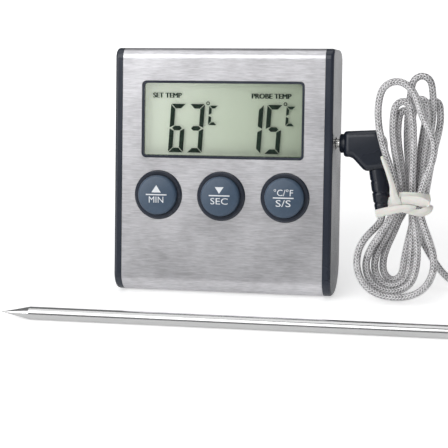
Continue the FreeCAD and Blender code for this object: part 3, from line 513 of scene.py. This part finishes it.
DIGIT_WIDE = 4.55
DIGIT_TALL = 14.2
STROKE = 1.32
DIGIT_FOOT = 41.0
SLANT = 0.062
UPRIGHT_ROW = DIGIT_FOOT + 7.0
LETTER_WIDE = 2.7
LETTER_TALL = 5.7
LETTER_STROKE = 0.82
LETTER_FOOT = DIGIT_FOOT + 8.1
RING_ROW = 55.45
RING_RADII = (0.56, 0.30)
CAPTION_ROW = 57.7
CAPTION_TALL = 1.45
CAPTION_DEPTH = 2.68
MARK_DEPTHS = (2.66, 2.72)
LIT = {"6": "acdefg", "3": "abcdg", "1": "bc", "5": "acdfg"}


def segment_outlines(wide, tall, stroke, gap):
    """The seven bars of a digit, mitred where they meet."""
    half = tall / 2
    near, far = gap, wide - gap
    inner, outer = stroke + gap, wide - stroke - gap
    mid = stroke * 0.5
    return {
        "a": [(near, tall), (far, tall), (outer, tall - stroke), (inner, tall - stroke)],
        "d": [(near, 0), (inner, stroke), (outer, stroke), (far, 0)],
        "g": [
            (near + mid, half),
            (inner, half + mid),
            (outer, half + mid),
            (far - mid, half),
            (outer, half - mid),
            (inner, half - mid),
        ],
        "f": [(0, tall - gap), (stroke, tall - stroke - gap), (stroke, half + mid + gap), (0, half + gap)],
        "b": [
            (wide, tall - gap),
            (wide, half + gap),
            (wide - stroke, half + mid + gap),
            (wide - stroke, tall - stroke - gap),
        ],
        "e": [(0, gap), (0, half - gap), (stroke, half - mid - gap), (stroke, stroke + gap)],
        "c": [
            (wide, gap),
            (wide - stroke, stroke + gap),
            (wide - stroke, half - mid - gap),
            (wide, half - gap),
        ],
    }


def slanted(corners, left, foot):
    """An outline moved into the display and leaned over."""
    return [(left + x + (foot + z - UPRIGHT_ROW) * SLANT, foot + z) for x, z in corners]


def digits():
    """Every dark bar of the two readings, with their small unit letters."""
    bars = segment_outlines(DIGIT_WIDE, DIGIT_TALL, STROKE, 0.16)
    small = segment_outlines(LETTER_WIDE, LETTER_TALL, LETTER_STROKE, 0.14)
    outlines = []
    for figure, left in (("6", -16.55), ("3", -10.85), ("1", 6.75), ("5", 12.4)):
        outlines += [slanted(bars[name], left, DIGIT_FOOT) for name in LIT[figure]]
    for left in (-5.0, 18.1):
        outlines += [slanted(small[name], left, LETTER_FOOT) for name in "adef"]
    return outlines


def degree_rings():
    """The two small rings of the degree signs."""
    outer, inner = RING_RADII
    outlines = []
    for middle in (-4.95, 18.15):
        for angle in range(0, 360, 30):
            corners = ((outer, angle), (outer, angle + 30), (inner, angle + 30), (inner, angle))
            outlines.append(
                [
                    (
                        middle + radius * math.cos(math.radians(turn)),
                        RING_ROW + radius * math.sin(math.radians(turn)),
                    )
                    for radius, turn in corners
                ]
            )
    return outlines


def captions():
    """The two small captions above the readings, each drawn three times to make it bold."""
    points = []
    faces = []
    for text, middle, width in (("SET TEMP", -17.3, 8.6), ("PROBE TEMP", 14.0, 11.6)):
        flat, links = lettering(text, width, CAPTION_TALL)
        for bold in (-0.11, 0.0, 0.11):
            first = len(points)
            points += [(middle + x + bold, CAPTION_DEPTH + bold / 10, CAPTION_ROW + z) for x, z in flat]
            faces += [tuple(first + corner for corner in link) for link in links]
    return points, faces


def marking(name, points, faces):
    """Dark marks in the display's glass."""
    mesh_object(name, points, faces, UNIT, "segment", "display_unit", smooth=False)


marking("readings", *prism(digits(), *MARK_DEPTHS))
marking("degree_rings", *prism(degree_rings(), *MARK_DEPTHS))
marking("captions", *captions())

# ---------------------------------------------------------------- lead

CABLE = 1.05
TURN_PITCH = 2.2
COIL_FRONT = 1.0
WAIST = (54.2, 29.8)
RELIEF_TOP = (44.5, 6.0, 36.77)
RELIEF_TILT = math.radians(8.0)
PROBE_END = 89.6
PROBE_LINE = -20.3
PROBE_RADIUS = 1.9
LEAD_BEND = 17.3
LEAD_CLEAR = 0.02
LINE_STEP = 0.35
FOOT_SHOULDER = -20.5
ABOVE_WAIST = 12.0
BELOW_WAIST = -1.5
CROSSING = ((7.2, 15.0), (3.6, 23.2))
LEAD_LEAVES = (10.6, -24.0)
# For each turn: the foot's left, right and low point, the waist's left and right, and the head's left,
# right, shoulder and high point.
TURNS = (
    (-14.0, 7.8, -29.0, -3.3, 3.4, -8.6, 1.4, 27.0, 32.4),
    (-11.8, 2.6, -27.6, -2.4, 1.2, -4.6, 0.5, 23.6, 26.8),
    (-9.6, 0.5, -26.2, -1.7, 0.8, -3.4, 0.0, 22.4, 24.3),
    (-7.5, -1.6, -24.6, -0.5, 2.1, 0.7, 4.1, 25.7, 27.6),
    (-12.7, 1.4, -27.7, -1.0, 2.8, -0.6, 5.4, 30.6, 34.2),
    (-10.6, -0.6, -27.1, 1.0, 3.6, 4.0, 7.5, 25.1, 27.1),
)


def hank_point(across, up, turn):
    """A point of the hank from its waist, at the depth of a turn."""
    return (WAIST[0] + across, COIL_FRONT + turn * TURN_PITCH, WAIST[1] + up)


def arc_points(left, right, shoulder, peak, turn, angles):
    """Points of the half ellipse that joins two sides of a turn."""
    middle = (left + right) / 2
    half = (right - left) / 2
    return [
        hank_point(
            middle + half * math.cos(math.radians(angle)),
            shoulder + (peak - shoulder) * math.sin(math.radians(angle)),
            turn,
        )
        for angle in angles
    ]


def hank_points():
    """The centre line of the coiled lead, from inside the strain relief to the table."""
    top = np.array(RELIEF_TOP)
    down = np.array((math.sin(RELIEF_TILT), 0, -math.cos(RELIEF_TILT)))
    points = [top + down * step for step in (5, 7, 9, 11, 13)] + [hank_point(-11.8, -12.0, 0.9)]
    for turn, sides in enumerate(TURNS):
        foot_left, foot_right, low, in_left, in_right, left, right, shoulder, high = sides
        points += arc_points(foot_left, foot_right, FOOT_SHOULDER, low, turn, (180, 140, 90, 40, 0))
        points.append(hank_point(in_right, BELOW_WAIST, turn))
        if turn == 0:
            points += [hank_point(across, up, turn) for across, up in CROSSING]
            points += arc_points(left, right, shoulder, high, turn, (45, 90, 135, 180))
        else:
            points.append(hank_point((in_right + right) / 2 + 0.3, ABOVE_WAIST, turn))
            points += arc_points(left, right, shoulder, high, turn, (0, 45, 90, 135, 180))
        points.append(hank_point((in_left + left) / 2 - 0.5, ABOVE_WAIST, turn))
        points.append(hank_point(in_left, BELOW_WAIST, turn + 0.05))
        if turn + 1 < len(TURNS):
            points.append(hank_point(in_left * 0.45 + TURNS[turn + 1][0] * 0.55, -11.5, turn + 0.95))
    points.append(hank_point(2.0, -11.0, len(TURNS)))
    points.append(hank_point(5.6, -18.0, len(TURNS) + 0.1))
    points.append(hank_point(*LEAD_LEAVES, len(TURNS)))
    return [np.array(UPRIGHT @ Vector(point)) for point in points]


def tail_points():
    """The rest of the centre line, on the table and back to the probe."""
    centre = PROBE_END + 6
    points = [(centre - 14, PROBE_LINE + 2 * LEAD_BEND + 0.2, CABLE + LEAD_CLEAR)]
    for angle in (70, 35, 0, -35, -65):
        turn = math.radians(angle)
        points.append(
            (
                centre + LEAD_BEND * math.cos(turn),
                PROBE_LINE + LEAD_BEND + LEAD_BEND * math.sin(turn),
                CABLE + LEAD_CLEAR if angle > 0 else PROBE_RADIUS,
            )
        )
    points.append((PROBE_END + 4.2, PROBE_LINE, PROBE_RADIUS))
    return [np.array(point) for point in points]


def end_slope(times, points):
    """The slope at the first of four points of the cubic through them."""
    slope = np.zeros(3)
    for i in range(4):
        others = [k for k in range(4) if k != i]
        scale = np.prod([times[i] - times[k] for k in others])
        total = sum(np.prod([times[0] - times[k] for k in others if k != j]) for j in others)
        slope += points[i] * total / scale
    return slope


def smooth_line(points, spacing):
    """A smooth curve through points, sampled evenly, with the distance along it."""
    points = np.array(points)
    times = np.concatenate([[0], np.cumsum(np.linalg.norm(np.diff(points, axis=0), axis=1))])
    count = len(points)
    gaps = np.diff(times)
    system = np.eye(count)
    right = np.zeros((count, 3))
    right[0] = end_slope(times[:4], points[:4])
    right[-1] = end_slope(times[::-1][:4], points[::-1][:4])
    for i in range(1, count - 1):
        before, after = gaps[i - 1], gaps[i]
        system[i, i - 1 : i + 2] = after, 2 * (before + after), before
        right[i] = 3 * (
            after * (points[i] - points[i - 1]) / before + before * (points[i + 1] - points[i]) / after
        )
    slopes = np.linalg.solve(system, right)
    fine = []
    for i in range(count - 1):
        s = np.linspace(0, 1, 40, endpoint=i == count - 2)[:, None]
        fine.append(
            points[i] * (2 * s**3 - 3 * s**2 + 1)
            + points[i + 1] * (3 * s**2 - 2 * s**3)
            + slopes[i] * gaps[i] * (s**3 - 2 * s**2 + s)
            + slopes[i + 1] * gaps[i] * (s**3 - s**2)
        )
    fine = np.concatenate(fine)
    along = np.concatenate([[0], np.cumsum(np.linalg.norm(np.diff(fine, axis=0), axis=1))])
    marks = np.linspace(0, along[-1], int(along[-1] / spacing) + 1)
    return np.stack([np.interp(marks, along, fine[:, axis]) for axis in range(3)], 1), marks


def carried_frames(line):
    """Two directions across a curve at each point, carried along it without twisting."""
    ahead = np.gradient(line, axis=0)
    ahead /= np.linalg.norm(ahead, axis=1)[:, None]
    side = np.cross(ahead[0], (0.0, 1.0, 0.3))
    sides = []
    for direction in ahead:
        side = side - direction * (side @ direction)
        side = side / np.linalg.norm(side)
        sides.append(side)
    sides = np.array(sides)
    return sides, np.cross(ahead, sides)


def braid(name, line, marks, node):
    """A woven sleeve along part of the lead; the run to the probe rides on no body."""
    ring = 32
    sides, ups = carried_frames(line)
    around = np.arange(ring + 1) / ring
    grid_along, grid_around = np.meshgrid(marks, around, indexing="ij")
    radius = CABLE - BRAID_DIP * (1 - np.abs(np.cos(math.pi * BRAID_ENDS * grid_around)))
    points = (
        line[:, None]
        + radius[..., None] * np.cos(2 * math.pi * grid_around)[..., None] * sides[:, None]
        + radius[..., None] * np.sin(2 * math.pi * grid_around)[..., None] * ups[:, None]
    ).reshape(-1, 3)
    faces = skin(len(line), ring, closed=False)
    uvs = np.stack([grid_along.ravel(), grid_around.ravel()], 1)
    body = None if node == "cable_lead" else "plug_and_lead"
    thing = mesh_object(name, points, faces, TABLE, "braid", body, uvs)
    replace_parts(thing, node)
    return thing


LINE, MARKS = smooth_line(hank_points() + tail_points(), LINE_STEP)
LEAVES = np.array(UPRIGHT @ Vector(hank_point(*LEAD_LEAVES, len(TURNS))))
SPLIT = int(np.argmin(np.linalg.norm(LINE - LEAVES, axis=1)))
INSIDE_CRIMP = np.arange(1, 20)[:, None] * 0.3
LAST = LINE[-1] + INSIDE_CRIMP * np.array((-1.0, 0, 0))
LAST_MARKS = MARKS[-1] + INSIDE_CRIMP[:, 0]
braid("braid_coil", LINE[: SPLIT + 1], MARKS[: SPLIT + 1], "cable_coil")
braid_run = braid(
    "braid_run",
    np.concatenate([LINE[SPLIT:], LAST]),
    np.concatenate([MARKS[SPLIT:], LAST_MARKS]),
    "cable_lead",
)
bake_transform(braid_run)

# ---------------------------------------------------------------- plug moulding

SOCKET_DEEP = 6.0
# Corners of the housing (side, up), and rows of the sleeve below it (up, left, right).
HOUSING = (
    (35.1, 40.55),
    (35.1, 47.95),
    (45.0, 48.45),
    (47.2, 46.0),
    (47.7, 41.6),
    (48.1, 37.2),
    (41.4, 36.5),
    (37.5, 40.55),
)
RELIEF_ROWS = (
    (38.0, 42.1, 47.7),
    (36.5, 42.35, 48.05),
    (34.5, 42.65, 48.5),
    (32.5, 43.0, 48.75),
    (30.0, 43.4, 48.7),
    (28.0, 43.75, 48.35),
    (26.4, 44.1, 48.0),
    (24.9, 44.45, 47.85),
)
GROOVES = (33.7, 30.5, 27.3)
GROOVE_DEEP = 0.28
GROOVE_HALF = 0.45
RELIEF_DEEP = 2.6
HOUSING_FRONT = 2.5
HOUSING_BACK = 9.5
HOUSING_CORNER = 1.1
HOUSING_EDGE = 1.9
COLLAR = [(2.0, 0.0), (2.55, 0.0), (2.75, 0.2), (2.75, 2.4), (2.0, 2.4)]
COLLAR_FACE = 33.9
SOCKET_ROW = 44.4


def rounded_outline(corners, reach, steps=5):
    """A closed outline with every corner swapped for a short curve."""
    points = []
    for here, corner in enumerate(corners):
        corner = np.array(corner, float)
        before = np.array(corners[here - 1], float)
        after = np.array(corners[(here + 1) % len(corners)], float)
        cut = min(reach, 0.45 * np.linalg.norm(before - corner), 0.45 * np.linalg.norm(after - corner))
        first = corner + (before - corner) / np.linalg.norm(before - corner) * cut
        last = corner + (after - corner) / np.linalg.norm(after - corner) * cut
        for step in range(steps + 1):
            s = step / steps
            points.append((1 - s) ** 2 * first + 2 * s * (1 - s) * corner + s**2 * last)
    return np.array(points)


def inset(outline, amount):
    """A clockwise outline moved inwards."""
    before = outline - np.roll(outline, 1, axis=0)
    after = np.roll(outline, -1, axis=0) - outline
    before /= np.linalg.norm(before, axis=1)[:, None]
    after /= np.linalg.norm(after, axis=1)[:, None]
    middle = before + after
    middle /= np.linalg.norm(middle, axis=1)[:, None]
    inward = np.stack([middle[:, 1], -middle[:, 0]], 1)
    stretch = 1 / np.maximum(0.6, (middle * before).sum(1))
    return outline + inward * (amount * stretch)[:, None]


def cushion(corners, reach, front, back, radius, steps=7):
    """Points and faces of a thick plate with rounded corners and fully rounded edges."""
    rings = []
    for step in range(steps + 1):
        turn = math.pi / 2 * step / steps
        rings.append((radius * (1 - math.sin(turn)), front + radius * (1 - math.cos(turn))))
    rings += [(amount, back - (deep - front)) for amount, deep in reversed(rings)]
    points = []
    for amount, deep in rings:
        shrunk = inset(np.array(corners, float), amount)
        outline = rounded_outline(shrunk, reach * (1 - 0.6 * amount / radius))
        points += [(x, deep, z) for x, z in outline]
    count = len(outline)
    ends = [tuple(range(count)), tuple(range(len(points) - 1, len(points) - count - 1, -1))]
    return points, ends + skin(len(rings), count, flip=True)


def relief_sleeve(steps=40):
    """Points and faces of the grooved sleeve below the plug."""
    rows = np.array(RELIEF_ROWS)
    heights = np.linspace(rows[0, 0], rows[-1, 0], 90)
    left = np.interp(-heights, -rows[:, 0], rows[:, 1])
    right = np.interp(-heights, -rows[:, 0], rows[:, 2])
    points = []
    for up, low, high in zip(heights, left, right):
        groove = min(abs(up - middle) for middle in GROOVES)
        half = (high - low) / 2 - GROOVE_DEEP * max(0.0, 1 - groove / GROOVE_HALF)
        for step in range(steps):
            angle = 2 * math.pi * step / steps
            deep = min(half, RELIEF_DEEP) * math.sin(angle)
            points.append(((low + high) / 2 + half * math.cos(angle), SOCKET_DEEP + deep, up))
    ends = [tuple(range(steps - 1, -1, -1)), tuple(range(len(points) - steps, len(points)))]
    return points, ends + skin(len(heights), steps)


def plug_piece(name, points, faces):
    """A moulded rubber piece of the plug."""
    thing = mesh_object(name, points, faces, UNIT, "plug_rubber", "plug_and_lead")
    thing.data.set_sharp_from_angle(angle=math.radians(60))
    return thing


moulding = cushion(HOUSING, HOUSING_CORNER, HOUSING_FRONT, HOUSING_BACK, HOUSING_EDGE)
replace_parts(plug_piece("plug_moulding", *moulding), "plug_housing")
turned, collar_faces = lathe(COLLAR, 48)
collar_points = [(COLLAR_FACE + y, SOCKET_DEEP + x, SOCKET_ROW + z) for x, y, z in turned]
plug_piece("plug_collar", collar_points, collar_faces)
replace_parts(plug_piece("plug_relief", *relief_sleeve()), "strain_relief")

# ---------------------------------------------------------------- twist tie

TIE_THICK = 0.22
TIE_HALF = ((-0.5, 0.0), (-0.18, 0.12), (0.0, 0.32), (0.18, 0.12), (0.5, 0.0))
TIE_SECTION = [(across, -0.5, bulge) for across, bulge in TIE_HALF]
TIE_SECTION += [(across, 0.5, bulge) for across, bulge in reversed(TIE_HALF)]


def ribbon_points(line, widths, wide):
    """The section of a paper ribbon with a wire core, carried along a line."""
    ahead = np.gradient(line, axis=0)
    points = []
    for spot, direction, across, width in zip(line, ahead, widths, wide):
        direction = direction / np.linalg.norm(direction)
        across = across - direction * (across @ direction)
        across = across / np.linalg.norm(across)
        normal = np.cross(direction, across)
        for a, n, bulge in TIE_SECTION:
            lift = n * TIE_THICK + math.copysign(bulge, n)
            points.append(spot + across * a * width + normal * lift)
    return points, len(TIE_SECTION)


def resampled(values, count):
    """Control values spread smoothly over more steps."""
    out = []
    for mark in np.linspace(0, len(values) - 1, count):
        i = min(int(mark), len(values) - 2)
        s = mark - i
        p0 = values[max(i - 1, 0)]
        p1, p2 = values[i], values[i + 1]
        p3 = values[min(i + 2, len(values) - 1)]
        bend = 2 * p0 - 5 * p1 + 4 * p2 - p3
        twist = 3 * p1 - p0 - 3 * p2 + p3
        out.append(0.5 * (2 * p1 + (p2 - p0) * s + bend * s**2 + twist * s**3))
    return np.array(out)


def ribbon(name, controls, count):
    """A ribbon from control rows of centre, width direction and width, from the waist of the coil."""
    rows = np.array(controls, float)
    rows[:, :3] += (WAIST[0], 0, WAIST[1])
    line = resampled(rows[:, :3], count)
    widths = resampled(rows[:, 3:6], count)
    wide = resampled(rows[:, 6], count)
    points, size = ribbon_points(line, widths, wide)
    faces = skin(count, size, flip=True)
    faces.append(tuple(range(size)))
    faces.append(tuple(range(count * size - 1, (count - 1) * size - 1, -1)))
    thing = mesh_object(name, points, faces, UNIT, "tie", "plug_and_lead")
    modifier = thing.modifiers.new("Soft", "SUBSURF")
    modifier.levels = modifier.render_levels = 1
    return thing


# Rows of a ribbon: its centre from the waist, the direction of its width, and its width.
UP = (0.0, 0.0, 1.0)
BACK_DEEP = COIL_FRONT + (len(TURNS) - 1) * TURN_PITCH + CABLE + 0.7
BAND = [
    (-2.2, -0.9, -0.2, *UP, 3.0),
    (0.4, -1.0, -0.1, *UP, 3.1),
    (3.4, -0.8, -0.3, *UP, 3.1),
    (5.3, 0.6, -0.6, *UP, 3.1),
    (5.7, 4.0, -0.9, *UP, 3.1),
    (5.4, 9.0, -1.2, *UP, 3.1),
    (3.8, BACK_DEEP - 0.6, -1.4, *UP, 3.1),
    (0.0, BACK_DEEP, -1.6, *UP, 3.1),
    (-3.6, BACK_DEEP - 0.8, -1.8, *UP, 3.1),
    (-5.3, 9.0, -2.0, *UP, 3.1),
    (-5.5, 4.0, -2.0, *UP, 3.1),
    (-5.0, 0.6, -1.7, *UP, 3.0),
    (-3.4, -1.0, -1.3, *UP, 2.8),
    (-1.6, -1.5, -1.1, *UP, 2.6),
]
EAR = [
    (-1.4, -1.7, -1.0, 0.3, 0, 1.0, 2.6),
    (1.2, -2.0, -0.9, 0.2, 0, 1.0, 2.6),
    (4.0, -2.4, -1.2, 0.1, -0.3, 1.0, 2.9),
    (6.3, -2.3, -2.2, -0.3, -0.6, 0.8, 3.0),
    (6.0, -1.8, -3.6, -0.6, -0.6, 0.6, 3.0),
    (4.2, -1.6, -4.4, -0.2, -0.5, 0.9, 2.6),
    (1.8, -1.9, -4.2, 0.1, -0.3, 1.0, 1.9),
    (-0.6, -2.3, -3.6, 0.1, -0.2, 1.0, 1.9),
]
STRAP = [
    (2.9, -2.2, -2.9, 0.2, 0, 1.0, 0.9),
    (0.6, -2.7, -3.1, 0.2, 0, 1.0, 2.0),
    (-2.2, -2.8, -3.5, 0.2, 0, 1.0, 2.2),
    (-5.4, -2.5, -4.2, 0.3, 0, 1.0, 2.4),
    (-8.6, -2.2, -5.0, 0.4, 0, 1.0, 2.3),
]
TAIL = [
    (-2.2, -1.9, -2.6, 1.0, 0, 0.2, 2.8),
    (-3.4, -2.1, 0.2, 1.0, 0, 0.25, 2.4),
    (-4.0, -2.0, 3.2, 1.0, 0, 0.3, 1.7),
    (-5.2, -1.6, 6.6, 1.0, 0.2, 0.4, 1.5),
    (-6.4, -1.2, 9.4, 1.0, 0.2, 0.5, 1.3),
    (-7.3, -1.0, 11.3, 1.0, 0.2, 0.5, 0.9),
]
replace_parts(ribbon("tie_band", BAND, 90), "twist_tie")
ribbon("tie_ear", EAR, 50)
ribbon("tie_strap", STRAP, 40)
ribbon("tie_tail", TAIL, 40)

# ---------------------------------------------------------------- CAD nodes

SLOTS = {row["node"]: row["material_slot"] for row in frame["record"]["subparts"]}
for name, thing in NODES.items():
    thing.data.materials.clear()
    thing.data.materials.append(FINISH[SLOTS[name]])

# ---------------------------------------------------------------- floor, light and camera

FLOOR_NEAR = 0.30
FLOOR_FAR = 0.48
FLOOR_SHOWN = 0.26
FLOOR_REACH = (0.06, 0.28)
ROOM_GLOW = 0.25
ROOM_SHOWN = 0.7
CAMERA_SPOT = (0.11244, -0.42086, 0.17765)
CAMERA_RIGHT = (0.97074, 0.23418, -0.05320)
CAMERA_UP = (-0.02965, 0.33672, 0.94114)
CAMERA_LENS = 129.0
SUBJECT = (0, 0, 0.03)


def floor():
    """A wide pale table that glows a little, more so away from the object."""
    bpy.ops.mesh.primitive_circle_add(vertices=96, radius=6.0, fill_type="NGON")
    thing = bpy.context.object
    thing.name = "Floor"
    material = bpy.data.materials.new("FloorPaper")
    tree = tree_of(material)
    coords = add(tree, "TexCoord").outputs["Object"]
    away = add(tree, "VectorMath", {0: coords}, operation="LENGTH").outputs["Value"]
    seen = add(tree, "LightPath").outputs["Is Camera Ray"]
    lit = spread(tree, away, FLOOR_NEAR, FLOOR_FAR, *FLOOR_REACH)
    glow = calc(tree, "ADD", lit, calc(tree, "MULTIPLY", seen, FLOOR_SHOWN))
    fibre = noise(tree, (1, 1, 1), 260.0, turn=0.0)
    shader = add(
        tree,
        "BsdfPrincipled",
        {
            "Base Color": tint(tree, fibre, (0.79, 0.79, 0.79, 1), (0.81, 0.81, 0.81, 1)),
            "Roughness": 0.8,
            "Specular IOR Level": 0.1,
            "Emission Color": (1, 1, 1, 1),
            "Emission Strength": glow,
        },
    )
    add(tree, "OutputMaterial", {"Surface": shader.outputs[0]})
    thing.data.materials.append(material)


def sky():
    """An even studio: pale to the camera, dimmer as a reflection and a fill light."""
    world = bpy.data.worlds.new("Studio")
    world.use_nodes = True
    tree = world.node_tree
    tree.nodes.clear()
    seen = add(tree, "LightPath").outputs["Is Camera Ray"]
    strength = calc(tree, "ADD", ROOM_GLOW, calc(tree, "MULTIPLY", seen, ROOM_SHOWN))
    light = add(tree, "Background", {"Color": (0.98, 0.985, 1.0, 1), "Strength": strength})
    add(tree, "OutputWorld", {"Surface": light.outputs[0]})
    bpy.context.scene.world = world


def softbox(name, place, size, power):
    """A rectangular area light that faces the object."""
    light = bpy.data.lights.new(name, "AREA")
    light.shape = "RECTANGLE"
    light.size, light.size_y = size
    light.energy = power
    thing = bpy.data.objects.new(name, light)
    thing.location = place
    thing.rotation_mode = "QUATERNION"
    thing.rotation_quaternion = (Vector(SUBJECT) - Vector(place)).to_track_quat("-Z", "Y")
    bpy.context.scene.collection.objects.link(thing)


def camera():
    """The viewpoint: in front, a little to the right and above."""
    data = bpy.data.cameras.new("Camera")
    data.sensor_width = 36.0
    data.lens = CAMERA_LENS
    data.clip_start = 0.05
    data.clip_end = 20.0
    thing = bpy.data.objects.new("Camera", data)
    right, up = Vector(CAMERA_RIGHT), Vector(CAMERA_UP)
    turn = Matrix((right, up, right.cross(up))).transposed().to_4x4()
    thing.matrix_world = Matrix.Translation(CAMERA_SPOT) @ turn
    bpy.context.scene.collection.objects.link(thing)
    bpy.context.scene.camera = thing


floor()
sky()
softbox("Front", (-0.36, -0.58, 0.64), (0.9, 0.6), 3.75)
softbox("Left", (-0.80, -0.80, 0.36), (0.6, 0.5), 2.4)
softbox("Overhead", (-0.05, 0.12, 0.95), (1.1, 0.7), 2.4)
camera()
scene = bpy.context.scene
scene.cycles.transparent_max_bounces = 32
scene.view_settings.view_transform = "Standard"
